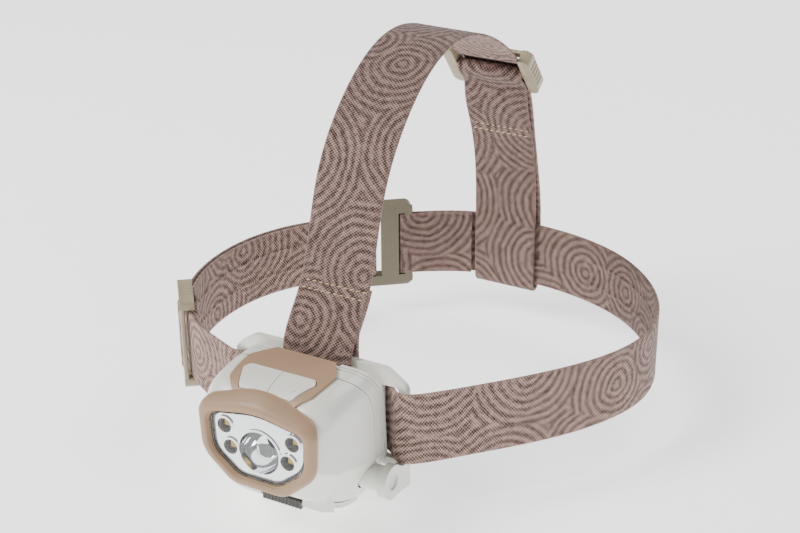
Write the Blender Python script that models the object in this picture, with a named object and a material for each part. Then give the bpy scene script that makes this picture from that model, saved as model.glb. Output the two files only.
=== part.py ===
"""A camping headlamp with a headband and a top strap: one named object for each physical piece.

Metres, +Z up. The lamp faces -Y, +X is at its left hand, and the origin is the middle of the headband ring.
The driving sizes below are in millimetres; everything else is worked out from them.
"""

import math

import bmesh
import bpy
import numpy as np
from mathutils import Matrix, Vector

MM = 0.001

# Webbing
WEB_WIDTH = 30.0
WEB_THICK = 1.8
GAP = 0.3
LAYER = WEB_THICK + GAP

# Headband ring, seen from above
BAND_FRONT_Y = -79.6
BAND_FRONT_HALF = 26.2
BAND_OVER_BAR = (36.5, -86.3)
BAND_RIGHT_X = 98.0
BAND_LEFT_X = -92.5
BAND_REAR_Y = 80.0
BAND_REAR_HALF = 16.0
BAND_RIGHT_FRONT = (58.0, -67.0)
BAND_RIGHT_REAR = (63.0, 65.0)
BAND_LEFT_REAR = (-60.0, 51.0)
BAND_LEFT_FRONT = (-78.0, -62.0)

# Top strap, seen from the side
ARCH = ((-72.5, 43.0), (-57.5, 83.0), (-24.0, 117.0), (15.0, 121.5), (61.0, 93.0), (73.5, 62.0))
FOLD_TOP_Z = 46.0

# Bracket
PLATE_FRONT_Y = -84.0
PLATE_THICK = 2.8
PLATE_HALF = 38.0
PLATE_TOP = 22.5
PLATE_BOTTOM = -19.2
TOP_BAR = 3.4
SIDE_BAR = 3.4
SLOT_WIDE = 7.4
SLOT_HALF_HIGH = 15.6
CROSS_BAR = 14.9
HEEL_NOTCH_HALF = 24.2
HEEL_NOTCH_TOP = -13.4
HEEL_CLEAR = 9.6
LUG_INNER = 34.3
LUG_OUTER = 37.8
LUG_RADIUS = 7.0
BOSS_RADIUS = 5.2
PIVOT_Y = -94.0
PIVOT_Z = -19.0
PIN_RADIUS = 2.2

# Lamp body: depth, half width, top, crease, half width of the bottom, bottom
STATIONS = (
    (-126.0, 24.0, 17.6, -2.0, 10.0, -14.8),
    (-120.0, 27.8, 22.2, -4.6, 16.5, -19.2),
    (-112.0, 29.3, 23.9, -6.6, 19.4, -24.2),
    (-103.0, 29.9, 24.4, -8.8, 21.2, -28.4),
    (-93.5, 30.0, 24.2, -11.2, 22.4, -30.8),
    (-82.0, 29.6, 23.8, -13.4, 22.8, -31.0),
)
CORNER_ROUNDS = (5.0, 5.0, 3.0, 9.5, 9.5, 3.0)
WALL = 1.8
FACE_Y = -126.0
BODY_STEP = 2.5
SEAM_Y = -93.5
SEAM_BEND_Z = 6.0
SEAM_LEAN = 8.0
BACK_Y = -84.5
BACK_BEND_Z = 9.0
BACK_LEAN = 7.6
HEEL_Z = -25.6
HEEL_RADIUS = 5.0
LID_PIN_Y = -93.9
LID_PIN_Z = 22.9
LID_EAR = (9.3, 12.4)
LID_NOTCH_HALF = 14.6
LID_SWING = 30

# Catch under the lamp
LATCH_PIN_Y = -111.6
LATCH_PIN_Z = -27.2
LATCH_EAR = (9.4, 21.0)
LATCH_EAR_DEEP = 4.2
LATCH_FRONT_Y = -109.4
LATCH_REAR_Y = -89.6

# Bezel and lens outline, seen from the front
LENS_CORNERS = (
    (0.0, 17.0), (-20.6, 13.2), (-19.8, -2.0), (-8.6, -11.0), (8.6, -11.0), (19.8, -2.0), (20.6, 13.2),
)
LENS_ROUNDS = (36.0, 4.6, 10.0, 9.0, 9.0, 10.0, 4.6)
BEZEL_CORNERS = (
    (0.0, 25.6), (-25.6, 17.6), (-24.6, -3.6), (-11.6, -15.0), (11.6, -15.0), (24.6, -3.6), (25.6, 17.6),
)
BEZEL_ROUNDS = (30.0, 7.0, 12.0, 9.0, 9.0, 12.0, 7.0)
BEZEL_FRONT_Y = -129.4
BROW_DEEP = 4.2
LENS_FRONT_Y = -128.0
LENS_THICK = 1.6

# Top panel and buttons, seen from above: the half on the +X side, front to rear
PANEL_RISE = 1.1
PANEL_HALF_PLAN = ((13.2, -127.4), (13.4, -122.7), (17.6, -118.0), (18.4, -112.0), (19.0, -102.7), (13.0, -92.6))
PANEL_HALF_ROUNDS = (0.5, 2.6, 4.5, 8.0, 5.0, 1.6)
WINDOW_HALF_PLAN = ((11.6, -121.6), (16.0, -111.4), (14.2, -108.4))
WINDOW_HALF_ROUNDS = (1.6, 2.4, 1.8)
BUTTON_GAP = 0.35
BUTTON_SPLIT = (1.5, -0.8)
BUTTON_RISE = 0.5
BUTTON_DEEP = 2.6

# Light engine
MAIN_AXIS_Z = 0.4
MAIN_RADIUS = 8.6
MAIN_DEPTH = 9.0
SIDE_LEDS = ((-14.6, 8.2), (-12.3, -0.2), (14.6, 8.2), (12.3, -0.2))
SIDE_RADIUS = 3.0
SIDE_DEPTH = 3.2

# Battery cells
CELL_RADIUS = 5.25
CELL_LONG = 44.5
CELL_Y = -96.2
CELL_TOP_Z = 12.0
CELL_STEP = 11.0

# Sliders
SLIDER_HIGH = 41.0
SLIDER_LONG = 23.0
SLIDER_BAR = 3.6
SLIDER_DEEP = 3.0
SLIDER_SPOT = (-80.0, -61.0)
BUCKLE_SPOT = (-51.0, 58.0)
TOP_SLIDER_SPOT = (61.0, 93.0)
BUCKLE_BARS = ((-11.5, -7.7), (-5.1, 3.4), (7.3, 10.9))
TOOTH = 1.8
TOOTH_PITCH = 5.0


def clear_scene():
    for thing in list(bpy.data.objects):
        bpy.data.objects.remove(thing, do_unlink=True)


def material(name, colour, roughness, metallic=0.0, transmission=0.0):
    made = bpy.data.materials.new(name)
    made.use_nodes = True
    shader = made.node_tree.nodes["Principled BSDF"]
    shader.inputs["Base Color"].default_value = (*colour, 1.0)
    shader.inputs["Roughness"].default_value = roughness
    shader.inputs["Metallic"].default_value = metallic
    shader.inputs["Transmission Weight"].default_value = transmission
    return made


def node(name, bm, look, at=(0.0, 0.0, 0.0)):
    """Makes the object of a mesh given in millimetres, with its origin at the point `at`."""
    bmesh.ops.remove_doubles(bm, verts=bm.verts, dist=1e-4)
    bmesh.ops.recalc_face_normals(bm, faces=bm.faces)
    bmesh.ops.translate(bm, verts=bm.verts, vec=-Vector(at))
    bmesh.ops.scale(bm, verts=bm.verts, vec=(MM, MM, MM))
    mesh = bpy.data.meshes.new(name)
    bm.to_mesh(mesh)
    bm.free()
    made = bpy.data.objects.new(name, mesh)
    made.location = Vector(at) * MM
    bpy.context.scene.collection.objects.link(made)
    mesh.materials.append(material(name, *look))
    mesh.shade_smooth()
    mesh.set_sharp_from_angle(angle=math.radians(35))
    return made


def boolean(target, bm, operation):
    """Joins the mesh to the target, cuts it away, or keeps what is inside both."""
    helper = node("helper", bm, ((1.0, 1.0, 1.0), 0.5))
    helper.display_type = "WIRE"
    helper.hide_render = True
    step = target.modifiers.new("step", "BOOLEAN")
    step.operation = operation
    step.solver = "EXACT"
    step.object = helper
    bpy.context.view_layer.update()
    shape = target.evaluated_get(bpy.context.evaluated_depsgraph_get())
    mesh = bpy.data.meshes.new_from_object(shape)
    target.modifiers.clear()
    target.data = mesh
    bpy.data.objects.remove(helper, do_unlink=True)


def cut(target, bm):
    boolean(target, bm, "DIFFERENCE")


def join(target, bm):
    boolean(target, bm, "UNION")


def keep(target, bm):
    boolean(target, bm, "INTERSECT")


# Curves


def spline(points, count, start=None, end=None):
    """A smooth curve through the points, with the end directions given or left free."""
    points = np.array(points, float)
    steps = np.sqrt(np.linalg.norm(np.diff(points, axis=0), axis=1))
    knots = np.concatenate([[0.0], np.cumsum(steps)])
    size = len(points)
    matrix = np.zeros((size, size))
    right = np.zeros_like(points)
    slopes = np.diff(points, axis=0) / steps[:, None]
    for i in range(1, size - 1):
        before, after = steps[i - 1], steps[i]
        matrix[i, i - 1 : i + 2] = after, 2 * (before + after), before
        right[i] = 3 * (after * slopes[i - 1] + before * slopes[i])
    for row, way, slope in ((0, start, slopes[0]), (size - 1, end, slopes[-1])):
        matrix[row, row] = 1.0
        if way is None:
            right[row] = slope
        else:
            right[row] = np.array(way) / np.linalg.norm(way) * np.linalg.norm(slope)
    tangents = np.linalg.solve(matrix, right)
    out = []
    for t in np.linspace(0.0, knots[-1], count):
        i = min(int(np.searchsorted(knots, t, side="right")) - 1, size - 2)
        h = steps[i]
        u = (t - knots[i]) / h
        out.append(
            (2 * u**3 - 3 * u**2 + 1) * points[i]
            + (u**3 - 2 * u**2 + u) * h * tangents[i]
            + (3 * u**2 - 2 * u**3) * points[i + 1]
            + (u**3 - u**2) * h * tangents[i + 1]
        )
    return np.array(out)


def even(points, count):
    """The same curve with its points at even distances."""
    points = np.array(points, float)
    run = np.concatenate([[0.0], np.cumsum(np.linalg.norm(np.diff(points, axis=0), axis=1))])
    where = np.linspace(0.0, run[-1], count)
    return np.stack([np.interp(where, run, points[:, k]) for k in range(points.shape[1])], axis=1)


def normals(points):
    """The left-hand normal at each point of a curve in a plane."""
    way = np.gradient(points, axis=0)
    way /= np.linalg.norm(way, axis=1)[:, None]
    return np.stack([-way[:, 1], way[:, 0]], axis=1)


def offset(points, distance):
    return points + normals(points) * distance


def part_of(points, first, last):
    """The stretch of a curve between two distances along it, both kept as end points."""
    run = np.concatenate([[0.0], np.cumsum(np.linalg.norm(np.diff(points, axis=0), axis=1))])
    inside = [d for d in run if first < d < last]
    where = np.array([first, *inside, last])
    return np.stack([np.interp(where, run, points[:, k]) for k in range(2)], axis=1)


def arc(centre, radius, start, end, count):
    angles = np.radians(np.linspace(start, end, count))
    return [(centre[0] + radius * math.cos(a), centre[1] + radius * math.sin(a)) for a in angles]


def grown(corners, distance):
    """A convex outline, given counter-clockwise, with each side moved outward."""
    out = []
    count = len(corners)
    for i in range(count):
        a, b, c = (np.array(corners[(i + k) % count], float) for k in (-1, 0, 1))
        first, second = (b - a) / np.linalg.norm(b - a), (c - b) / np.linalg.norm(c - b)
        out_first = np.array([first[1], -first[0]])
        out_second = np.array([second[1], -second[0]])
        bisector = out_first + out_second
        out.append(b + bisector * distance / (1 + out_first @ out_second))
    return out


def rounded(corners, radii, steps):
    """The outline with each corner rounded to its radius by the same number of points."""
    out = []
    count = len(corners)
    for i in range(count):
        a, b, c = (np.array(corners[(i + k) % count], float) for k in (-1, 0, 1))
        first, second = (a - b) / np.linalg.norm(a - b), (c - b) / np.linalg.norm(c - b)
        half = math.acos(max(-1.0, min(1.0, first @ second))) / 2
        reach = radii[i] / math.tan(half)
        centre = b + (first + second) / np.linalg.norm(first + second) * radii[i] / math.sin(half)
        start = b + first * reach - centre
        end = b + second * reach - centre
        turn = math.atan2(start[0] * end[1] - start[1] * end[0], start @ end)
        for k in range(steps + 1):
            angle = turn * k / steps
            cos, sin = math.cos(angle), math.sin(angle)
            spot = (start[0] * cos - start[1] * sin, start[0] * sin + start[1] * cos)
            out.append(centre + np.array(spot))
    return np.array(out)


# Solids


def skin(rings, closed=False):
    """A solid through rings of points, capped at both ends or joined end to end."""
    bm = bmesh.new()
    rows = [[bm.verts.new(p) for p in ring] for ring in rings]
    count = len(rows[0])
    pairs = list(zip(rows, rows[1:] + rows[:1])) if closed else list(zip(rows, rows[1:]))
    for lower, upper in pairs:
        for i in range(count):
            j = (i + 1) % count
            bm.faces.new((lower[i], lower[j], upper[j], upper[i]))
    if not closed:
        bm.faces.new(rows[0][::-1])
        bm.faces.new(rows[-1])
    bmesh.ops.recalc_face_normals(bm, faces=bm.faces)
    return bm


def prism(outline, low, high, axis):
    """The outline pushed along an axis: X takes (y, z) points, Y takes (x, z) and Z takes (x, y)."""
    spots = {
        "X": lambda p, d: (d, p[0], p[1]),
        "Y": lambda p, d: (p[0], d, p[1]),
        "Z": lambda p, d: (p[0], p[1], d),
    }
    return skin([[spots[axis](p, d) for p in outline] for d in (low, high)])


def block(low, high):
    corners = [(low[0], low[1]), (high[0], low[1]), (high[0], high[1]), (low[0], high[1])]
    return prism(corners, low[2], high[2], "Z")


def turned(profile, centre, axis, count=28):
    """A solid of revolution from (radius, distance along the axis) points that start and end on the axis."""
    rings = []
    for radius, along in profile:
        ring = []
        for k in range(count):
            a = 2 * math.pi * k / count
            across = (radius * math.cos(a), radius * math.sin(a))
            spot = {"X": (along, *across), "Y": (across[0], along, across[1]), "Z": (*across, along)}[axis]
            ring.append(Vector(centre) + Vector(spot))
        rings.append(ring)
    return skin(rings)


def cylinder(radius, centre, axis, low, high, count=28):
    return turned([(radius, low), (radius, high)], centre, axis, count)


def webbing(path, height_low, height_high, plane, thick=WEB_THICK):
    """A flat band of webbing that follows a path: "XY" stands on edge, "YZ" lies across X."""
    side = normals(path) * thick / 2
    rings = []
    for point, out in zip(path, side):
        a, b = point + out, point - out
        corners = ((a, height_low), (a, height_high), (b, height_high), (b, height_low))
        if plane == "XY":
            rings.append([(p[0], p[1], h) for p, h in corners])
        else:
            rings.append([(h, p[0], p[1]) for p, h in corners])
    return skin(rings)


# The lamp body


def body_section(y, grow):
    """The outline of the lamp body at one depth, moved outward by `grow`."""
    curve = spline(STATIONS, 40)
    half, top, crease, low_half, low = (np.interp(y, curve[:, 0], curve[:, k]) for k in range(1, 6))
    corners = [
        (-low_half, low), (low_half, low), (half, crease),
        (half - 1.5, top), (1.5 - half, top), (-half, crease),
    ]
    outline = rounded(grown(corners, grow), [max(r + grow, 0.6) for r in CORNER_ROUNDS], 5)
    return [(p[0], y, p[1]) for p in outline]


def body_loft(front, rear, grow):
    """The whole lamp body between two depths."""
    steps = [y for y in np.arange(-126.0, -80.0, BODY_STEP) if front + 0.2 < y < rear - 0.2]
    return skin([body_section(y, grow) for y in (front, *steps, rear)])


def seam_y(z, shift=0.0):
    return SEAM_Y + shift - SEAM_LEAN * (max(z - SEAM_BEND_Z, 0.0) / 18.0) ** 2


def back_y(z):
    return BACK_Y - BACK_LEAN * (max(z - BACK_BEND_Z, 0.0) / 16.0) ** 2


def side_curve(function, low, high, count, *rest):
    return [(function(z, *rest), z) for z in np.linspace(low, high, count)]


def front_region(shift):
    """The side view of everything ahead of the seam."""
    seam = side_curve(seam_y, -50.0, 40.0, 31, shift)
    return prism([(-140.0, -50.0), *seam, (-140.0, 40.0)], -45.0, 45.0, "X")


def rear_region(inset):
    """The side view of the battery tray, between the seam and its rounded back."""
    heel = (BACK_Y - HEEL_RADIUS, HEEL_Z)
    sole = HEEL_Z - HEEL_RADIUS + inset
    low = [(-92.0, -50.0), (-92.0, sole), *arc(heel, HEEL_RADIUS - inset, -90.0, 0.0, 8)]
    back = [(y - inset, z) for y, z in side_curve(back_y, PIVOT_Z + 1.0, 40.0, 22)]
    seam = side_curve(seam_y, -50.0, 40.0, 31, GAP - 14.0 * bool(inset))
    return prism([*low, *back, *seam[::-1]], -45.0, 45.0, "X")


def as_mesh(made):
    """Takes a finished object apart again into a mesh in millimetres."""
    bm = bmesh.new()
    bm.from_mesh(made.data)
    bmesh.ops.scale(bm, verts=bm.verts, vec=(1 / MM, 1 / MM, 1 / MM))
    bmesh.ops.translate(bm, verts=bm.verts, vec=made.location / MM)
    bpy.data.objects.remove(made, do_unlink=True)
    return bm


def lens_outline(grow):
    return rounded(grown(LENS_CORNERS, grow), [max(r + grow, 0.5) for r in LENS_ROUNDS], 6)


def outline_ring(profile):
    """A frame that follows the lens outline: the profile holds (distance outside the outline, y) points."""
    rings = [[(p[0], y, p[1]) for p in lens_outline(grow)] for grow, y in profile]
    return skin(rings, closed=True)


def bezel_ring():
    """The frame round the lens: broad along its top, where it reaches back over the housing as a brow."""
    inner = lens_outline(0.0)
    outer = rounded(BEZEL_CORNERS, BEZEL_ROUNDS, 6)
    profile = [
        (0.06, FACE_Y - 0.1), (0.06, -128.2), (0.2, BEZEL_FRONT_Y + 0.2), (0.45, BEZEL_FRONT_Y),
        (0.8, -128.8), (0.95, -128.0), (1.0, -127.0), (1.0, FACE_Y - 0.1), (0.3, FACE_Y - 0.1),
    ]
    rings = []
    for number, (share, y) in enumerate(profile):
        outline = inner + (outer - inner) * share
        back = BROW_DEEP if number == 7 else 0.0
        brow = np.clip((outline[:, 1] - 14.0) / 6.0, 0.0, 1.0) * back
        rings.append([(p[0], y + b, p[1]) for p, b in zip(outline, brow)])
    return skin(rings, closed=True)


def shell_slab(plan, low_grow, high_grow, front, z_low, z_high):
    """A slab that follows the lamp body's skin, cut to an outline seen from above."""
    made = node("slab", body_loft(front, -82.0, high_grow), PEARL)
    cut(made, body_loft(front - 1.0, -81.0, low_grow))
    keep(made, prism(plan, z_low, z_high, "Z"))
    return made


def both_halves(half_plan, half_rounds):
    """A plan that is the same on both sides, from its +X half given front to rear."""
    plan = [*half_plan, *[(-x, y) for x, y in half_plan[::-1]]]
    return rounded(plan, [*half_rounds, *half_rounds[::-1]], 4)


def window_plan(inset=0.0):
    """The button window seen from above, or the outline of what fills it."""
    plan = both_halves(WINDOW_HALF_PLAN, WINDOW_HALF_ROUNDS)
    centre = plan.mean(axis=0)
    reach = np.linalg.norm(plan - centre, axis=1)[:, None]
    return plan - (plan - centre) / reach * inset


def turned_about(bm, pin, degrees):
    """Turns a mesh about a pin that lies along X."""
    turn = Matrix.Rotation(math.radians(degrees), 4, "X")
    there, back = Matrix.Translation(pin), Matrix.Translation(-Vector(pin))
    bmesh.ops.transform(bm, matrix=there @ turn @ back, verts=bm.verts)
    return bm


PEARL = ((0.80, 0.79, 0.74), 0.35)
TAN = ((0.42, 0.30, 0.19), 0.5)
KHAKI = ((0.45, 0.40, 0.30), 0.45)
OLIVE = ((0.26, 0.23, 0.16), 0.45)
WEB = ((0.30, 0.22, 0.20), 0.9)
DARK = ((0.05, 0.05, 0.05), 0.6)
CHROME = ((0.9, 0.9, 0.9), 0.08, 1.0)
CLEAR = ((0.95, 0.95, 0.95), 0.03, 0.0, 1.0)
YELLOW = ((0.9, 0.65, 0.15), 0.4)
BOARD = ((0.05, 0.2, 0.1), 0.5)
METAL = ((0.7, 0.7, 0.7), 0.3, 1.0)
LID_PIN = (0.0, LID_PIN_Y, LID_PIN_Z)
PIVOT = (0.0, PIVOT_Y, PIVOT_Z)
LATCH_PIN = (0.0, LATCH_PIN_Y, LATCH_PIN_Z)


def front_housing():
    made = node("front_housing", body_loft(FACE_Y, -86.0, 0.0), PEARL, LID_PIN)
    keep(made, front_region(0.0))
    cut(made, body_loft(FACE_Y + WALL, -84.0, -WALL))
    cut(made, prism(lens_outline(-1.2), -130.0, -122.0, "Y"))
    cut(made, prism(window_plan(), 12.0, 40.0, "Z"))
    for side in (-1, 1):
        cut(made, cylinder(BOSS_RADIUS + 0.5, PIVOT, "X", *sorted((side * 18.0, side * 40.0))))
        low, high = sorted((side * LATCH_EAR[0], side * LATCH_EAR[1]))
        front, rear = LATCH_PIN_Y - 1.9, LATCH_PIN_Y + 1.8
        ear = shell_slab([(low, front), (high, front), (high, rear), (low, rear)],
                         -0.6, LATCH_EAR_DEEP, -127.0, -40.0, -14.0)
        keep(ear, prism([*arc(LATCH_PIN[1:], 1.9, -180.0, 0.0, 13), (rear + 0.1, -14.0), (front, -14.0)],
                        -25.0, 25.0, "X"))
        join(made, as_mesh(ear))
    cut(made, cylinder(0.85, LATCH_PIN, "X", -13.0, 13.0, 16))
    # Room for the tray's top edge as the lid swings
    for degrees in range(2, LID_SWING + 1, 2):
        cut(made, turned_about(tray_top_edge(), LID_PIN, degrees))


def tray_top_edge():
    """The top of the tray's wall, a little thicker all round."""
    roof = node("roof", body_loft(-110.0, -80.0, 0.22), PEARL)
    keep(roof, rear_region(0.0))
    cut(roof, body_loft(-120.0, -79.0, -WALL - 0.15))
    keep(roof, block((-40.0, -120.0, 15.0), (40.0, -80.0, 30.0)))
    return as_mesh(roof)


def battery_tray():
    made = node("battery_tray", body_loft(-110.0, -80.0, 0.0), PEARL, PIVOT)
    keep(made, rear_region(0.0))
    for side in (-1, 1):
        join(made, cylinder(BOSS_RADIUS, PIVOT, "X", *sorted((side * 25.4, side * (LUG_INNER - GAP)))))
    inside = node("inside", body_loft(-120.0, -79.0, -WALL), PEARL)
    keep(inside, rear_region(WALL))
    cut(made, as_mesh(inside))
    # The top is open under the panel, where the lid's hinge turns
    near, wide = LID_EAR[0], LID_NOTCH_HALF
    notch = [(-wide, 21.9), (-near, 21.9), (-near, 19.0), (near, 19.0), (near, 21.9), (wide, 21.9)]
    cut(made, prism([*notch, (wide, 30.0), (-wide, 30.0)], -104.0, -79.0, "Y"))
    for side in (-1, 1):
        cut(made, cylinder(PIN_RADIUS + 0.05, PIVOT, "X", *sorted((side * 27.0, side * 36.0))))
        low, high = sorted((side * near, side * LID_EAR[1]))
        ear = [(LID_PIN_Y - 1.28, 19.6), (-89.7, 19.6), (-89.9, 21.7), (LID_PIN_Y + 1.28, 21.7)]
        join(made, prism([*ear, *arc(LID_PIN[1:], 1.28, 0.0, 180.0, 11)], low, high, "X"))
    cut(made, cylinder(0.75, LID_PIN, "X", -13.0, 13.0, 16))
    # Each side of the heel is rounded about the hinge, to pass the plate's legs as the lamp tilts
    for side in (-1, 1):
        ends = sorted((side * (HEEL_NOTCH_HALF - 0.4), side * 32.0))
        curve = arc(PIVOT[1:], HEEL_CLEAR, -150.0, 20.0, 18)
        cut(made, prism([*curve, (-70.0, curve[-1][1]), (-70.0, -45.0), (curve[0][0], -45.0)], *ends, "X"))


def bezel_frame():
    """The tan frame round the lens, its two arms and the top panel, in one piece."""
    plan = both_halves(PANEL_HALF_PLAN, PANEL_HALF_ROUNDS)
    patch = as_mesh(shell_slab(plan, 0.06, PANEL_RISE, -128.0, 10.0, 40.0))
    made = node("bezel_frame", bezel_ring(), TAN, LID_PIN)
    join(made, patch)
    cut(made, body_loft(FACE_Y - 0.06, -81.0, 0.06))
    cut(made, prism(window_plan(), 12.0, 40.0, "Z"))
    join(made, block((-9.0, LID_PIN_Y - 0.9, LID_PIN_Z), (9.0, LID_PIN_Y + 0.9, 24.8)))
    join(made, cylinder(1.5, LID_PIN, "X", -9.0, 9.0, 20))
    cut(made, cylinder(0.75, LID_PIN, "X", -13.0, 13.0, 16))


def buttons():
    near, far = BUTTON_SPLIT
    for name, side in (("button_right", -1), ("button_left", 1)):
        slab = shell_slab(window_plan(BUTTON_GAP), -BUTTON_DEEP, PANEL_RISE + BUTTON_RISE, -127.0, 10.0, 40.0)
        made = node(name, as_mesh(slab), PEARL, (side * 7.4, -115.0, 24.0))
        edge = side * BUTTON_GAP / 2
        half = [(near + edge, -122.0), (side * 20.0, -122.0), (side * 20.0, -107.0), (far + edge, -107.0)]
        keep(made, prism(half[::side], 5.0, 45.0, "Z"))


def lens():
    rings = [(-0.1, LENS_FRONT_Y + LENS_THICK), (-0.1, LENS_FRONT_Y + 0.4), (-0.6, LENS_FRONT_Y)]
    node("lens", skin([[(p[0], y, p[1]) for p in lens_outline(grow)] for grow, y in rings]), CLEAR, LID_PIN)


def lens_seal():
    profile = [(-1.1, -126.34), (-0.2, -126.34), (-0.2, -126.06), (-1.1, -126.06)]
    node("lens_seal", outline_ring(profile), DARK, LID_PIN)


def reflector():
    """One bright plate with a deep main cup and a small cup for each side LED."""
    made = node("reflector", prism(lens_outline(-1.5), -125.9, -124.7, "Y"), CHROME, LID_PIN)
    main = (0.0, -125.0, MAIN_AXIS_Z)
    steps = [(0.0, MAIN_RADIUS), (0.25, 7.9), (0.5, 6.8), (0.75, 5.2), (1.0, 3.0)]
    outer = [(radius + 0.8, MAIN_DEPTH * t) for t, radius in steps]
    join(made, turned(outer, main, "Y"))
    inner = [(MAIN_RADIUS, -2.0), *[(radius, MAIN_DEPTH * t) for t, radius in steps], (3.0, MAIN_DEPTH + 2.0)]
    for x, z in SIDE_LEDS:
        join(made, turned([(SIDE_RADIUS + 0.5, 0.0), (2.5, SIDE_DEPTH)], (x, -125.0, z), "Y", 20))
    cut(made, turned(inner, main, "Y"))
    for x, z in SIDE_LEDS:
        cup = [(SIDE_RADIUS, -2.0), (SIDE_RADIUS, -0.8), (1.9, SIDE_DEPTH), (1.9, SIDE_DEPTH + 2.0)]
        cut(made, turned(cup, (x, -125.0, z), "Y", 20))


def leds():
    base = -125.0 + MAIN_DEPTH
    chip = block((-1.9, base + 0.3, MAIN_AXIS_Z - 1.9), (1.9, base + 1.1, MAIN_AXIS_Z + 1.9))
    made = node("main_led", chip, YELLOW, LID_PIN)
    dome = [(1.7, 0.6), (1.7, -0.1), (1.4, -0.9), (0.8, -1.5), (0.2, -1.7)]
    join(made, turned(dome, (0.0, base, MAIN_AXIS_Z), "Y", 20))
    for number, (x, z) in enumerate(SIDE_LEDS, 1):
        y = -125.0 + SIDE_DEPTH
        chip = block((x - 1.25, y - 0.5, z - 1.25), (x + 1.25, y + 0.6, z + 1.25))
        node(f"side_led_{number}", chip, YELLOW, LID_PIN)


def led_board():
    made = node("led_board", prism(lens_outline(-3.2), -121.0, -119.9, "Y"), BOARD, LID_PIN)
    cut(made, cylinder(9.3, (0.0, 0.0, MAIN_AXIS_Z), "Y", -123.0, -118.0))


def heat_sink():
    made = node("heat_sink", cylinder(8.5, (0.0, 0.0, MAIN_AXIS_Z), "Y", -114.7, -113.0), METAL, LID_PIN)
    for x in (-6.0, -3.0, 0.0, 3.0, 6.0):
        join(made, block((x - 0.6, -113.2, MAIN_AXIS_Z - 5.5), (x + 0.6, -108.0, MAIN_AXIS_Z + 5.5)))


def control_board():
    top = 17.5
    node("control_board", block((-16.0, -120.6, top - 1.2), (16.0, -106.0, top)), BOARD, LID_PIN)
    for name, side in (("switch_right", -1), ("switch_left", 1)):
        x = side * 7.4
        made = node(name, block((x - 2.6, -118.4, top + 0.05), (x + 2.6, -113.2, top + 1.1)), DARK, LID_PIN)
        join(made, cylinder(1.4, (x, -115.8, 0.0), "Z", top + 1.0, top + 1.7, 16))


def cells():
    for number in range(3):
        spot = (0.0, CELL_Y, CELL_TOP_Z - CELL_STEP * number)
        way = 1 if number % 2 else -1
        half = CELL_LONG / 2
        profile = [(CELL_RADIUS, -half), (CELL_RADIUS, half - 1.0)]
        can = turned([(r, way * a) for r, a in profile], spot, "X", 24)
        made = node(f"battery_{number + 1}", can, METAL, PIVOT)
        join(made, cylinder(1.9, spot, "X", *sorted((way * (half - 1.2), way * half)), 16))


def battery_cradle():
    low, high = CELL_TOP_Z - 2 * CELL_STEP - 6.4, CELL_TOP_Z + 6.2
    made = node("battery_cradle", block((-24.4, -94.0, low), (24.4, -89.6, high)), DARK, PIVOT)
    for side in (-1, 1):
        ends = sorted((side * 23.6, side * 24.4))
        join(made, block((ends[0], -99.6, low), (ends[1], -93.0, high)))
    for number in range(3):
        spot = (0.0, CELL_Y, CELL_TOP_Z - CELL_STEP * number)
        cut(made, cylinder(CELL_RADIUS + GAP, spot, "X", -23.6, 23.6, 24))


def contacts():
    for name, side in (("contact_right", -1), ("contact_left", 1)):
        ends = sorted((side * 22.9, side * 23.3))
        strip = block((ends[0], -99.2, CELL_TOP_Z - 27.0), (ends[1], -94.4, CELL_TOP_Z + 5.0))
        made = node(name, strip, METAL, PIVOT)
        for number in range(3):
            spot = (0.0, CELL_Y - 1.0, CELL_TOP_Z - CELL_STEP * number)
            join(made, cylinder(1.6, spot, "X", *sorted((side * 22.5, side * 23.1)), 12))


def latch():
    """The catch: a plate that hangs from the housing's two ears and reaches back under the tray."""
    plan = [(-20.4, LATCH_FRONT_Y), (20.4, LATCH_FRONT_Y), (20.4, LATCH_REAR_Y), (-20.4, LATCH_REAR_Y)]
    slab = shell_slab(plan, 0.35, 2.4, -127.0, -40.0, -14.0)
    made = node("latch_plate", as_mesh(slab), PEARL, LATCH_PIN)
    join(made, block((-8.9, LATCH_PIN_Y, LATCH_PIN_Z - 1.4), (8.9, LATCH_FRONT_Y + 1.6, LATCH_PIN_Z + 0.4)))
    join(made, cylinder(1.4, LATCH_PIN, "X", -8.9, 8.9, 20))
    cut(made, cylinder(0.85, LATCH_PIN, "X", -13.0, 13.0, 16))
    low, high = (-8.6, LATCH_PIN_Y - 2.0, LATCH_PIN_Z - 1.9), (8.6, LATCH_PIN_Y + 1.6, LATCH_PIN_Z + 1.5)
    made = node("latch_grip", block(low, high), DARK, LATCH_PIN)
    cut(made, cylinder(1.42, LATCH_PIN, "X", -9.5, 9.5, 20))
    cut(made, block((-9.5, LATCH_PIN_Y, LATCH_PIN_Z - 1.42), (9.5, LATCH_FRONT_Y + 1.6, LATCH_PIN_Z + 0.42)))


def pins():
    for name, side in (("hinge_pin_right", -1), ("hinge_pin_left", 1)):
        ends = sorted((side * 27.2, side * (LUG_OUTER - 0.7)))
        node(name, cylinder(PIN_RADIUS, PIVOT, "X", *ends, 24), METAL, PIVOT)
    node("lid_pin", cylinder(0.7, LID_PIN, "X", -12.2, 12.2, 16), METAL, PIVOT)
    node("latch_pin", cylinder(0.8, LATCH_PIN, "X", -12.2, 12.2, 16), METAL, LATCH_PIN)


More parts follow.
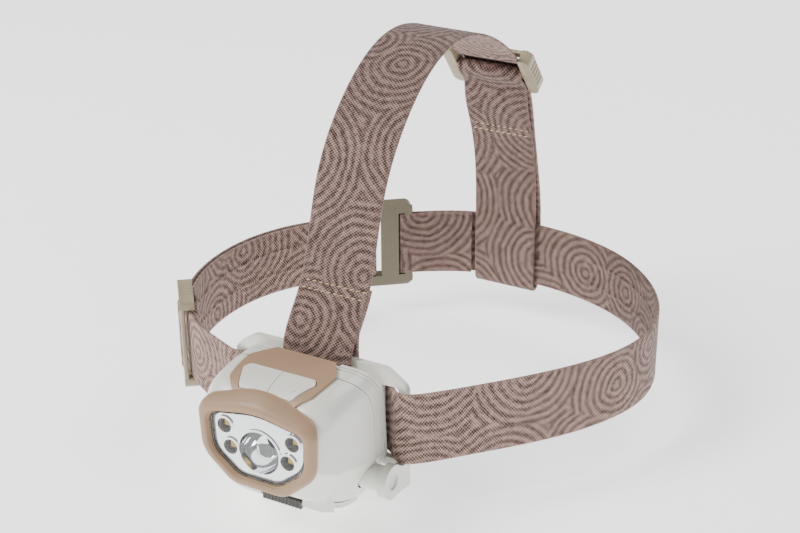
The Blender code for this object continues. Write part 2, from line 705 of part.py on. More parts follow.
def bracket_plate():
    """The plate that the headband threads through, with a lug each side for the tilt hinge."""
    half, top = PLATE_HALF, PLATE_TOP
    corners = [(-half, PLATE_BOTTOM), (half, PLATE_BOTTOM), (half, 16.4), (29.5, top), (-29.5, top), (-half, 16.4)]
    outline = rounded(corners, [3.0, 3.0, 4.0, 6.0, 6.0, 4.0], 5)
    back = PLATE_FRONT_Y + PLATE_THICK
    made = node("bracket_plate", prism(outline, PLATE_FRONT_Y, back, "Y"), PEARL)
    for side in (-1, 1):
        outer = side * (half - SIDE_BAR)
        inner = side * (half - SIDE_BAR - SLOT_WIDE)
        ends = sorted((outer, inner))
        cut(made, block((ends[0], -90.0, -SLOT_HALF_HIGH), (ends[1], -75.0, SLOT_HALF_HIGH)))
        lug = [*arc((PIVOT_Y, PIVOT_Z), LUG_RADIUS, 70.0, 290.0, 17), (back, -27.0), (back, -16.2), (-87.0, -15.6)]
        join(made, prism(lug, *sorted((side * LUG_INNER, side * LUG_OUTER)), "X"))
        cut(made, cylinder(PIN_RADIUS + 0.08, PIVOT, "X", *sorted((side * 33.0, side * 39.0)), 24))
    cut(made, block((-16.4, -90.0, CROSS_BAR), (16.4, -75.0, top - TOP_BAR)))
    cut(made, block((-HEEL_NOTCH_HALF, -90.0, -40.0), (HEEL_NOTCH_HALF, -75.0, HEEL_NOTCH_TOP)))


# Webbing


def band_path():
    """The middle line of the headband seen from above, once round from the front, evenly stepped."""
    half, over_x, over_y = BAND_FRONT_HALF, *BAND_OVER_BAR
    slot = ((half + over_x) / 2, (BAND_FRONT_Y + over_y) / 2)
    right = [(half, BAND_FRONT_Y), slot, BAND_OVER_BAR, (42.6, -83.2), BAND_RIGHT_FRONT]
    left = [BAND_LEFT_FRONT, (-43.6, -84.2), (-over_x, over_y), (-slot[0], slot[1]), (-half, BAND_FRONT_Y)]
    rear = [(BAND_REAR_HALF, BAND_REAR_Y - 0.7), (0.0, BAND_REAR_Y), (-BAND_REAR_HALF, BAND_REAR_Y - 0.7)]
    side = [(BAND_RIGHT_X, 0.0), BAND_RIGHT_REAR, *rear, BAND_LEFT_REAR, (BAND_LEFT_X, 0.0)]
    middle = np.array([(0.0, BAND_FRONT_Y)])
    ring = spline(right + side + left, 700, (1.0, 0.0), (1.0, 0.0))
    return even(np.concatenate([middle, ring, middle]), 500)


def distance_to(path, spot):
    """How far along the path the point nearest to the spot lies."""
    run = np.concatenate([[0.0], np.cumsum(np.linalg.norm(np.diff(path, axis=0), axis=1))])
    return float(run[np.argmin(np.linalg.norm(path - np.array(spot), axis=1))])


def place(path, distance):
    """The point of the path at a distance along it, and its direction there."""
    run = np.concatenate([[0.0], np.cumsum(np.linalg.norm(np.diff(path, axis=0), axis=1))])
    spots = [np.array([np.interp(distance + d, run, path[:, k]) for k in range(2)]) for d in (-12.0, 0.0, 12.0)]
    way = spots[2] - spots[0]
    return spots[1], way / np.linalg.norm(way)


def thin(path, step):
    """The same line with fewer points, about one every `step` millimetres."""
    length = np.linalg.norm(np.diff(path, axis=0), axis=1).sum()
    return even(path, max(int(length / step) + 1, 3))


def band_piece(name, path, first, last, inward=0.0, step=8.0):
    line = thin(offset(part_of(path, first, last), inward), step)
    half = WEB_WIDTH / 2
    node(name, webbing(line, -half, half, "XY"), WEB)


def slider_frame():
    """A three-bar slider in its own frame: two end bars over the webbing and a middle bar under it."""
    high, long, web = SLIDER_HIGH / 2, SLIDER_LONG / 2, WEB_WIDTH / 2 + 0.5
    over, deep, bar = WEB_THICK / 2 + GAP, SLIDER_DEEP, SLIDER_BAR
    made = node("slider", block((-long, -deep, -high), (long, deep, -web)), KHAKI)
    join(made, block((-long, -deep, web), (long, deep, high)))
    join(made, block((-long, over, -high), (-long + bar, deep, high)))
    join(made, block((long - bar, over, -high), (long, deep, high)))
    join(made, block((-bar / 2, -deep, -high), (bar / 2, -over, high)))
    return as_mesh(made)


def buckle_frame():
    """The rear buckle in its own frame: a toothed rim, a broad middle bar and a bar that the lining wraps."""
    high, long, web = SLIDER_HIGH / 2, SLIDER_LONG / 2, WEB_WIDTH / 2 + 0.5
    deep = SLIDER_DEEP
    made = node("buckle", block((-long, -deep, -high), (long, deep, -web)), OLIVE)
    join(made, block((-long, -deep, web), (long, deep, high)))
    for (first, last), top in zip(BUCKLE_BARS, (-1.2, -1.2, 0.8)):
        join(made, block((first, -deep if top < 0 else -0.8, -high), (last, top, high)))
    rim = BUCKLE_BARS[0][1]
    for k in range(6):
        z = (k - 2.5) * TOOTH_PITCH
        join(made, block((rim - 0.2, -deep, z - TOOTH / 2), (rim + TOOTH, -1.2, z + TOOTH / 2)))
    return as_mesh(made)


def on_strap(name, bm, path, where, look, plane):
    """Makes the object of a slider that lies on the strap, `where` millimetres along its path."""
    spot, way = place(path, where)
    out = Vector((way[1], -way[0]))
    if plane == "XY":
        turn = Matrix(((way[0], out[0], 0.0), (way[1], out[1], 0.0), (0.0, 0.0, 1.0)))
        centre = (spot[0], spot[1], 0.0)
    else:
        turn = Matrix(((0.0, 0.0, 1.0), (way[0], -out[0], 0.0), (way[1], -out[1], 0.0)))
        centre = (0.0, spot[0], spot[1])
    bmesh.ops.transform(bm, matrix=turn.to_4x4(), verts=bm.verts)
    bmesh.ops.translate(bm, verts=bm.verts, vec=centre)
    return node(name, bm, look)


def headband():
    path = band_path()
    total = float(np.linalg.norm(np.diff(path, axis=0), axis=1).sum())
    adjuster = distance_to(path, SLIDER_SPOT)
    buckle = distance_to(path, BUCKLE_SPOT)
    tail = distance_to(path, (-18.0, BAND_REAR_Y))
    out_right = distance_to(path, (52.0, -75.0))
    side_right = distance_to(path, (BAND_RIGHT_X, 0.0))
    rear_right = distance_to(path, BAND_RIGHT_REAR)
    side_left = distance_to(path, (BAND_LEFT_X, 0.0))
    out_left = distance_to(path, (-48.0, -82.0))
    seam = 0.15
    bare = SLIDER_LONG / 2 + 1.0
    front = np.concatenate([path[:-1], path])
    band_piece("band_front", front, out_left + seam, total + out_right - seam, 0.0, 2.5)
    band_piece("band_right", path, out_right + seam, side_right - seam)
    band_piece("band_right_rear", path, side_right + seam, rear_right - seam)
    band_piece("band_rear", path, rear_right + seam, buckle - bare)
    band_piece("band_tail", path, tail, buckle - bare, LAYER)
    band_piece("band_left_rear", path, buckle + bare, side_left - seam)
    band_piece("band_left", path, side_left + seam, out_left - seam)
    band_piece("band_lining_rear", path, buckle + bare, side_left - seam, LAYER)
    band_piece("band_lining", path, side_left + seam, adjuster - bare, LAYER)
    on_strap("slider_left", slider_frame(), path, adjuster, KHAKI, "XY")
    on_strap("rear_buckle", buckle_frame(), path, buckle, OLIVE, "XY")


def arch_path():
    """The side view of the top strap, from the bracket's top bar over the head to below the headband at the rear."""
    bar_z = PLATE_TOP - TOP_BAR / 2
    front_y = PLATE_FRONT_Y - 3 * GAP - WEB_THICK / 2
    rear_y = BAND_REAR_Y + LAYER + GAP
    low = -WEB_WIDTH / 2 - GAP
    points = [(front_y, bar_z), *ARCH, (rear_y, 20.0), (rear_y, low)]
    return even(spline(points, 500, (0.05, 1.0), (0.0, -1.0)), 400)


def top_strap():
    path = arch_path()
    half = WEB_WIDTH / 2
    total = float(np.linalg.norm(np.diff(path, axis=0), axis=1).sum())
    apex = distance_to(path, (0.0, 123.0))
    where = distance_to(path, TOP_SLIDER_SPOT)
    # The fold round the bracket's top bar
    back = PLATE_FRONT_Y + PLATE_THICK + 2 * GAP + WEB_THICK / 2
    middle = (path[0][0] + back) / 2
    under = PLATE_TOP - TOP_BAR - WEB_THICK
    bend = (back - path[0][0]) / 2
    inner = thin(offset(part_of(path, 12.0, distance_to(path, (-71.5, FOLD_TOP_Z))), -LAYER), 5.0)[::-1]
    turn = arc((middle, under + bend * 0.62), bend, 0.0, -180.0, 9)
    turn = [(y, under + (z - under + 0.38 * bend) * 0.62) for y, z in turn]
    outer = thin(part_of(path, 0.8, apex - 0.15), 6.0)
    fold = np.array([*inner, (back, PLATE_TOP + 2.0), (back, PLATE_TOP - 0.3), *turn, *outer])
    node("top_strap_front", webbing(fold, -half, half, "YZ"), WEB)
    outer = thin(part_of(path, apex + 0.15, total - 26.0), 6.0)
    node("top_strap_rear", webbing(outer, -half, half, "YZ"), WEB)
    # The loop round the headband's lower edge
    inner_y = BAND_REAR_Y - LAYER - 3 * GAP
    down = part_of(path, total - 25.7, total)
    bend = (path[-1][0] - inner_y) / 2
    turn = arc((inner_y + bend, path[-1][1]), bend, 0.0, -180.0, 9)[1:-1]
    rise = [(inner_y, path[-1][1]), (inner_y, 10.0), (inner_y - 1.0, 36.0), (70.6, 62.0), (64.5, 76.0)]
    up = spline(rise, 24, (0.0, 1.0))
    node("top_strap_loop", webbing(np.array([*thin(down, 6.0), *turn, *up]), -half, half, "YZ"), WEB)
    on_strap("slider_top", slider_frame(), path, where, KHAKI, "YZ")


clear_scene()
front_housing()
battery_tray()
bezel_frame()
buttons()
lens()
lens_seal()
reflector()
leds()
led_board()
heat_sink()
control_board()
cells()
battery_cradle()
contacts()
latch()
pins()
bracket_plate()
headband()
top_strap()
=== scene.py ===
"""Camping headlamp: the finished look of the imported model.

The frame holds every moving part. Each operator below makes one piece, or one group of like pieces, in place,
hides the plain part that it stands for, and lets it ride on the body of that part.
Lengths inside the file are in millimetres unless a property says otherwise.
"""

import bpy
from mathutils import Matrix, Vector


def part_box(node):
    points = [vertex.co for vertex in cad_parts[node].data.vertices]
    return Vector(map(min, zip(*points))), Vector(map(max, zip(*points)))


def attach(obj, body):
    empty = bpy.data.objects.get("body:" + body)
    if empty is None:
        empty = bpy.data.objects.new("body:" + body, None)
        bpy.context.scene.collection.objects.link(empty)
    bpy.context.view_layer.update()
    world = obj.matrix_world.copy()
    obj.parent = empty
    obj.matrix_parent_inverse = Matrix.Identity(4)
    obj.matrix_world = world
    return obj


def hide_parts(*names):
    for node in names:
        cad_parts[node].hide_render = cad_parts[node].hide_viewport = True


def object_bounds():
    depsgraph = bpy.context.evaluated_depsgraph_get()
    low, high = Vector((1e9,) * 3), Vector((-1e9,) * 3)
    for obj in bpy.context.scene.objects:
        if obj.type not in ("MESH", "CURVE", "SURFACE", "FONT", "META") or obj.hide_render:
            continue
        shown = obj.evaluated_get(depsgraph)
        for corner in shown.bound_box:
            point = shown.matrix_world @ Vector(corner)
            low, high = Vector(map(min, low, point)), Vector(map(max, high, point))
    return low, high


bl_info = {
    "name": "Camping headlamp",
    "version": (1, 0, 0),
    "blender": (4, 5, 0),
    "location": "View3D > Sidebar > Headlamp",
    "description": "Builds a camping headlamp with woven straps around its packed frame",
    "category": "Add Mesh",
}

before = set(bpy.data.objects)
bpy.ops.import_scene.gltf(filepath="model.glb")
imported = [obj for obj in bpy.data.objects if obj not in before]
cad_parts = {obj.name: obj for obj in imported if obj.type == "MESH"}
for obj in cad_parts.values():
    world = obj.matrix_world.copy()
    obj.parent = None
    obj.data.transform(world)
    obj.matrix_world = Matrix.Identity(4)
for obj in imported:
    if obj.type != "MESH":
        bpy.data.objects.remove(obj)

import math

import bmesh
import bpy
import numpy as np
from bpy.props import FloatProperty, FloatVectorProperty, IntProperty, PointerProperty
from mathutils import Matrix, Vector

CAD_BOX = [list(corner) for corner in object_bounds()]
MM = 0.001

# Webbing and headband ring
WEB_HALF = round(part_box("band_front")[1].z / MM, 3)
LAYER = 2.1
BAND_FRONT_Y = -79.6
BAND_FRONT_HALF = 26.2
BAND_OVER_BAR = (36.5, -86.3)
BAND_RIGHT_X = 98.0
BAND_LEFT_X = -92.5
BAND_REAR_Y = 80.0
BAND_REAR_HALF = 16.0
BAND_RIGHT_FRONT = (58.0, -67.0)
BAND_RIGHT_REAR = (63.0, 65.0)
BAND_LEFT_REAR = (-60.0, 51.0)
BAND_LEFT_FRONT = (-78.0, -62.0)
SLIDER_SPOT = (-80.0, -61.0)
BUCKLE_SPOT = (-51.0, 58.0)
TAIL_SPOT = (-18.0, BAND_REAR_Y)

# Top strap, seen from the side
ARCH = ((-72.5, 43.0), (-57.5, 83.0), (-24.0, 117.0), (15.0, 121.5), (61.0, 93.0), (73.5, 62.0))
TOP_SLIDER_SPOT = (61.0, 93.0)
FRONT_SEAM_Z = 43.5
REAR_SEAM_Z = 62.0

# Bracket plate
PLATE_FRONT_Y = -84.0
PLATE_THICK = 2.8
PLATE_HALF = 38.0
PLATE_TOP = 22.5
PLATE_BOTTOM = -19.2
BAR = 3.4
SLOT_WIDE = 7.4
SLOT_HALF_HIGH = 15.6
CROSS_BAR = 14.9
HEEL_NOTCH_HALF = 24.2
HEEL_NOTCH_TOP = -13.4
HEEL_CLEAR = 9.6
CLEAR = 0.3
LUG_INNER = 34.3
LUG_OUTER = 37.8
LUG_RADIUS = 7.0
BOSS_RADIUS = 5.2
PIVOT = (0.0, -94.0, -19.0)
PIN_RADIUS = 2.2

# Lamp body: depth, half width, top, crease, half width of the bottom, bottom
STATIONS = (
    (-126.0, 24.0, 17.6, -2.0, 10.0, -14.8),
    (-120.0, 27.8, 22.2, -4.6, 16.5, -19.2),
    (-112.0, 29.3, 23.9, -6.6, 19.4, -24.2),
    (-103.0, 29.9, 24.4, -8.8, 21.2, -28.4),
    (-93.5, 30.0, 24.2, -11.2, 22.4, -30.8),
    (-82.0, 29.6, 23.8, -13.4, 22.8, -31.0),
)
CORNER_ROUNDS = (5.0, 5.0, 3.0, 9.5, 9.5, 3.0)
WALL = 1.8
FACE_Y = -126.0
SEAM_Y = -93.5
SEAM_BEND_Z = 6.0
SEAM_LEAN = 8.0
BACK_Y = -84.5
BACK_BEND_Z = 9.0
BACK_LEAN = 7.6
HEEL_Z = -25.6
HEEL_RADIUS = 5.0
LID_PIN = (0.0, -93.9, 22.9)
LID_EAR = (9.3, 12.4)
LID_NOTCH_HALF = 14.6
LID_NOTCH_HIGH = 21.9
LID_NOTCH_LOW = 19.0
LID_EYE = 1.28
LID_BORE = 0.75
LID_SWING = 30
SWING_STEP = 2
LATCH_PIN = (0.0, -111.6, -27.2)
LATCH_EAR = (9.4, 21.0)
LATCH_EAR_DEEP = 4.2
LATCH_EYE = 1.9
LATCH_BORE = 0.85
GRIP_PITCH = 1.6
BORE_HALF = 13.0
LATCH_FRONT_Y = -109.4
LATCH_REAR_Y = -89.6

# Bezel, lens and panel
LENS_CORNERS = (
    (0.0, 17.0), (-20.6, 13.2), (-19.8, -2.0), (-8.6, -11.0),
    (8.6, -11.0), (19.8, -2.0), (20.6, 13.2),
)
LENS_ROUNDS = (36.0, 4.6, 10.0, 9.0, 9.0, 10.0, 4.6)
BEZEL_CORNERS = (
    (0.0, 25.6), (-25.6, 17.6), (-24.6, -3.6), (-11.6, -15.0),
    (11.6, -15.0), (24.6, -3.6), (25.6, 17.6),
)
BEZEL_ROUNDS = (30.0, 7.0, 12.0, 9.0, 9.0, 12.0, 7.0)
BEZEL_FRONT_Y = -129.4
BROW_DEEP = 4.2
LENS_FRONT_Y = -128.0
LENS_THICK = 1.6
PANEL_RISE = 1.1
PANEL_HALF_PLAN = (
    (13.2, -127.4), (13.4, -122.7), (17.6, -118.0), (18.4, -112.0), (19.0, -102.7), (13.0, -92.6),
)
PANEL_HALF_ROUNDS = (0.5, 2.6, 4.5, 8.0, 5.0, 1.6)
WINDOW_HALF_PLAN = ((11.6, -121.6), (16.0, -111.4), (14.2, -108.4))
WINDOW_HALF_ROUNDS = (1.6, 2.4, 1.8)
BUTTON_SPLIT = (1.5, -0.8)

BUTTON_RISE = 0.4

# How far cutters reach: across the lamp, from its middle up or down, through its window and the bracket plate
WHOLE_WIDTH = (-45.0, 45.0)
ABOVE = (10.0, 40.0)
BELOW = (-40.0, -14.0)
WINDOW_CUT = (12.0, 40.0)
THROUGH_PLATE = (-90.0, -75.0)

# Light engine
PLATE_Y = -125.0
MAIN_AXIS_Z = 0.4
MAIN_RADIUS = 8.6
MAIN_DEPTH = 9.0
SIDE_LEDS = ((-14.6, 8.2), (-12.3, -0.2), (14.6, 8.2), (12.3, -0.2))
SIDE_RADIUS = 3.0
SIDE_DEPTH = 3.2

# Webbing: the middle line of each grip rib from the strap's middle, half a rib's width, and the fine edge
RIB_SPOT = 5.5
RIB_HALF = 0.8
SELVEDGE_SPOT = 14.0

# Swirls of the weave: the size of one swirl, in metres
SWIRL_CELL = 0.036

# Sliders and buckle
SLIDER_HIGH = 41.0
SLIDER_LONG = 23.0
SLIDER_DEEP = 3.0
SLIDER_BAR_HALF = 1.8
RIDGE_PITCH = 2.6
RIDGE_RADIUS = 0.75
BUCKLE_BARS = ((-11.5, -7.7), (-5.1, 3.4), (7.3, 10.9))
TOOTH = 1.8
TOOTH_PITCH = 5.0
TEETH = 6

# Camera
CAMERA_AZIMUTH = 28.54
CAMERA_ELEVATION = 26.91
CAMERA_DISTANCE = 0.70715
CAMERA_LENS = 74.9
CAMERA_SHIFT = (-0.0311, 0.0622)


class HeadlampSizes(bpy.types.PropertyGroup):
    """Sizes that a user would change."""

    web_thick: FloatProperty(
        name="Webbing thickness", description="Thickness of the woven straps",
        default=1.6 * MM, min=1.0 * MM, max=1.8 * MM, unit="LENGTH",
    )
    rib_high: FloatProperty(
        name="Grip rib height", description="How far the grip ribs stand out of the inner face",
        default=0.5 * MM, min=0.0, max=0.8 * MM, unit="LENGTH",
    )
    weave_pitch: FloatProperty(
        name="Weave pitch", description="Distance between two threads of the weave",
        default=0.95 * MM, min=0.3 * MM, max=2.0 * MM, unit="LENGTH",
    )
    swirl_pitch: FloatProperty(
        name="Swirl pitch", description="Distance between two rings of the woven swirl",
        default=3.3 * MM, min=1.0 * MM, max=10.0 * MM, unit="LENGTH",
    )
    stitch_long: FloatProperty(
        name="Stitch length", description="Visible length of one stitch",
        default=2.1 * MM, min=0.5 * MM, max=5.0 * MM, unit="LENGTH",
    )
    edge_soft: FloatProperty(
        name="Edge rounding", description="Radius of the moulded edges of the lamp",
        default=0.45 * MM, min=0.05 * MM, max=1.0 * MM, unit="LENGTH",
    )
    grip_ridges: IntProperty(
        name="Grip ridges", description="Raised ridges on each end of a slider", default=5, min=2, max=9,
    )


class HeadlampColours(bpy.types.PropertyGroup):
    """Colours that a user would change."""

    pearl: FloatVectorProperty(
        name="Shell", description="Pearl plastic of the lamp and its bracket", subtype="COLOR",
        default=(0.76, 0.76, 0.70), min=0.0, max=1.0,
    )
    tan: FloatVectorProperty(
        name="Bezel", description="Tan plastic of the bezel and top panel", subtype="COLOR",
        default=(0.33, 0.21, 0.125), min=0.0, max=1.0,
    )
    khaki: FloatVectorProperty(
        name="Sliders", description="Khaki plastic of the sliders", subtype="COLOR",
        default=(0.30, 0.25, 0.165), min=0.0, max=1.0,
    )
    olive: FloatVectorProperty(
        name="Buckle", description="Olive plastic of the rear buckle", subtype="COLOR",
        default=(0.12, 0.10, 0.055), min=0.0, max=1.0,
    )
    web_ground: FloatVectorProperty(
        name="Webbing ground", description="Dark ground threads of the straps", subtype="COLOR",
        default=(0.045, 0.026, 0.022), min=0.0, max=1.0,
    )
    web_thread: FloatVectorProperty(
        name="Webbing thread", description="Light face threads of the straps", subtype="COLOR",
        default=(0.46, 0.31, 0.265), min=0.0, max=1.0,
    )
    stitch: FloatVectorProperty(
        name="Stitching", description="Sewing thread", subtype="COLOR",
        default=(0.46, 0.34, 0.19), min=0.0, max=1.0,
    )
    phosphor: FloatVectorProperty(
        name="LED phosphor", description="Yellow face of each LED", subtype="COLOR",
        default=(0.80, 0.45, 0.07), min=0.0, max=1.0,
    )


# Curves


def spline(points, count, start=None, end=None):
    """A smooth curve through the points, with the end directions given or left free."""
    points = np.array(points, float)
    steps = np.sqrt(np.linalg.norm(np.diff(points, axis=0), axis=1))
    knots = np.concatenate([[0.0], np.cumsum(steps)])
    size = len(points)
    matrix = np.zeros((size, size))
    right = np.zeros_like(points)
    slopes = np.diff(points, axis=0) / steps[:, None]
    for i in range(1, size - 1):
        before, after = steps[i - 1], steps[i]
        matrix[i, i - 1 : i + 2] = after, 2 * (before + after), before
        right[i] = 3 * (after * slopes[i - 1] + before * slopes[i])
    for row, way, slope in ((0, start, slopes[0]), (size - 1, end, slopes[-1])):
        matrix[row, row] = 1.0
        if way is None:
            right[row] = slope
        else:
            right[row] = np.array(way) / np.linalg.norm(way) * np.linalg.norm(slope)
    tangents = np.linalg.solve(matrix, right)
    out = []
    for t in np.linspace(0.0, knots[-1], count):
        i = min(int(np.searchsorted(knots, t, side="right")) - 1, size - 2)
        h = steps[i]
        u = (t - knots[i]) / h
        out.append(
            (2 * u**3 - 3 * u**2 + 1) * points[i]
            + (u**3 - 2 * u**2 + u) * h * tangents[i]
            + (3 * u**2 - 2 * u**3) * points[i + 1]
            + (u**3 - u**2) * h * tangents[i + 1]
        )
    return np.array(out)


def travelled(points):
    """How far along the curve each of its points lies."""
    return np.concatenate([[0.0], np.cumsum(np.linalg.norm(np.diff(points, axis=0), axis=1))])


def even(points, count):
    """The same curve with its points at even distances."""
    points = np.array(points, float)
    run = travelled(points)
    where = np.linspace(0.0, run[-1], count)
    return np.stack([np.interp(where, run, points[:, k]) for k in range(points.shape[1])], axis=1)


def resampled(points, step):
    return even(points, max(int(travelled(np.array(points, float))[-1] / step), 2) + 1)


def left_normals(points):
    way = np.gradient(points, axis=0)
    way /= np.linalg.norm(way, axis=1)[:, None]
    return np.stack([-way[:, 1], way[:, 0]], axis=1)


def distance_to(path, spot):
    """How far along the path the point nearest to the spot lies."""
    return float(travelled(path)[np.argmin(np.linalg.norm(path - np.array(spot), axis=1))])


def beside(path, along, aside):
    """Points at distances along the path, moved to its left by the distances aside."""
    run = travelled(path)
    normal = left_normals(path)
    spots = np.stack([np.interp(along, run, path[:, k]) for k in range(2)], axis=1)
    out = np.stack([np.interp(along, run, normal[:, k]) for k in range(2)], axis=1)
    return spots + out * np.array(aside, float)[:, None]


def bump_at(where, centre, half):
    """A smooth hump of height one over `half` on each side of the centre."""
    near = np.clip(1 - np.abs(np.array(where) - centre) / half, 0, 1)
    return near * near * (3 - 2 * near)


def arc(centre, radius, start, end, count):
    angles = np.radians(np.linspace(start, end, count))
    return [(centre[0] + radius * math.cos(a), centre[1] + radius * math.sin(a)) for a in angles]


def grown(corners, distance):
    """A convex outline, given counter-clockwise, with each side moved outward."""
    out = []
    count = len(corners)
    for i in range(count):
        a, b, c = (np.array(corners[(i + k) % count], float) for k in (-1, 0, 1))
        first, second = (b - a) / np.linalg.norm(b - a), (c - b) / np.linalg.norm(c - b)
        out_first = np.array([first[1], -first[0]])
        out_second = np.array([second[1], -second[0]])
        out.append(b + (out_first + out_second) * distance / (1 + out_first @ out_second))
    return out


def rounded(corners, radii, steps=10):
    """The outline with each corner rounded to its radius by the same number of points."""
    out = []
    count = len(corners)
    for i in range(count):
        a, b, c = (np.array(corners[(i + k) % count], float) for k in (-1, 0, 1))
        first, second = (a - b) / np.linalg.norm(a - b), (c - b) / np.linalg.norm(c - b)
        half = math.acos(max(-1.0, min(1.0, first @ second))) / 2
        reach = radii[i] / math.tan(half)
        centre = b + (first + second) / np.linalg.norm(first + second) * radii[i] / math.sin(half)
        start = b + first * reach - centre
        end = b + second * reach - centre
        turn = math.atan2(start[0] * end[1] - start[1] * end[0], start @ end)
        for k in range(steps + 1):
            angle = turn * k / steps
            cos, sin = math.cos(angle), math.sin(angle)
            out.append(centre + np.array([start[0] * cos - start[1] * sin, start[0] * sin + start[1] * cos]))
    return np.array(out)


def both_halves(half_plan, half_rounds):
    """A plan that is the same on both sides, from its +X half given front to rear."""
    plan = [*half_plan, *[(-x, y) for x, y in half_plan[::-1]]]
    return rounded(plan, [*half_rounds, *half_rounds[::-1]], 8)


# Meshes


def skin(rings, closed=False):
    """A solid through rings of points, capped at both ends or joined end to end."""
    bm = bmesh.new()
    rows = [[bm.verts.new(p) for p in ring] for ring in rings]
    count = len(rows[0])
    pairs = list(zip(rows, rows[1:] + rows[:1])) if closed else list(zip(rows, rows[1:]))
    for lower, upper in pairs:
        for i in range(count):
            j = (i + 1) % count
            bm.faces.new((lower[i], lower[j], upper[j], upper[i]))
    if not closed:
        bm.faces.new(rows[0][::-1])
        bm.faces.new(rows[-1])
    bmesh.ops.recalc_face_normals(bm, faces=bm.faces)
    return bm


def prism(outline, low, high, axis):
    """The outline pushed along an axis: X takes (y, z) points, Y takes (x, z) and Z takes (x, y)."""
    spots = {
        "X": lambda p, d: (d, p[0], p[1]),
        "Y": lambda p, d: (p[0], d, p[1]),
        "Z": lambda p, d: (p[0], p[1], d),
    }
    return skin([[spots[axis](p, d) for p in outline] for d in (low, high)])


def corners_of(left, low, right, high):
    return [(left, low), (right, low), (right, high), (left, high)]


def block(low, high):
    return prism(corners_of(low[0], low[1], high[0], high[1]), low[2], high[2], "Z")


def turned(profile, centre, axis, count=48):
    """A solid of revolution from (radius, distance along the axis) points."""
    rings = []
    for radius, along in profile:
        ring = []
        for k in range(count):
            a = 2 * math.pi * k / count
            u, v = radius * math.cos(a), radius * math.sin(a)
            spot = {"X": (along, u, v), "Y": (u, along, v), "Z": (u, v, along)}[axis]
            ring.append(Vector(centre) + Vector(spot))
        rings.append(ring)
    return skin(rings)


def added(parts):
    """Several meshes in one."""
    whole = bmesh.new()
    for bm in parts:
        mesh = bpy.data.meshes.new("part")
        bm.to_mesh(mesh)
        bm.free()
        whole.from_mesh(mesh)
        bpy.data.meshes.remove(mesh)
    return whole


def cut_through(bm, cutters, operation="DIFFERENCE"):
    """The mesh after each cutter has been taken away from it, joined to it or kept in common with it."""
    base = scratch_object("base", bm)
    for cutter in cutters:
        tool = scratch_object("tool", cutter)
        step = base.modifiers.new("step", "BOOLEAN")
        step.operation = operation
        step.solver = "EXACT"
        step.object = tool
        bpy.context.view_layer.update()
        graph = bpy.context.evaluated_depsgraph_get()
        result = bpy.data.meshes.new_from_object(base.evaluated_get(graph))
        base.modifiers.clear()
        base.data = result
        bpy.data.objects.remove(tool, do_unlink=True)
    out = bmesh.new()
    out.from_mesh(base.data)
    bpy.data.objects.remove(base, do_unlink=True)
    return out


def scratch_object(name, bm):
    mesh = bpy.data.meshes.new(name)
    bmesh.ops.recalc_face_normals(bm, faces=bm.faces)
    bm.to_mesh(mesh)
    bm.free()
    made = bpy.data.objects.new(name, mesh)
    bpy.context.scene.collection.objects.link(made)
    return made


def piece(name, bm, finish, body, stands_for=(), soften=0.0, sharp=40.0):
    """Makes a piece from a mesh in millimetres, gives it its looks and lets it ride on its body."""
    bmesh.ops.remove_doubles(bm, verts=bm.verts, dist=1e-3)
    bmesh.ops.scale(bm, verts=bm.verts, vec=(MM, MM, MM))
    mesh = bpy.data.meshes.new(name)
    bm.to_mesh(mesh)
    bm.free()
    made = bpy.data.objects.new(name, mesh)
    bpy.context.scene.collection.objects.link(made)
    mesh.materials.append(finish_named(finish))
    mesh.shade_smooth()
    if soften:
        edge = made.modifiers.new("moulded edges", "BEVEL")
        edge.width = soften
        edge.segments = 3
        edge.limit_method = "ANGLE"
        edge.angle_limit = math.radians(sharp)
        edge.harden_normals = True
    else:
        mesh.set_sharp_from_angle(angle=math.radians(sharp))
    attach(made, body)
    if stands_for:
        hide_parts(*stands_for)
    return made


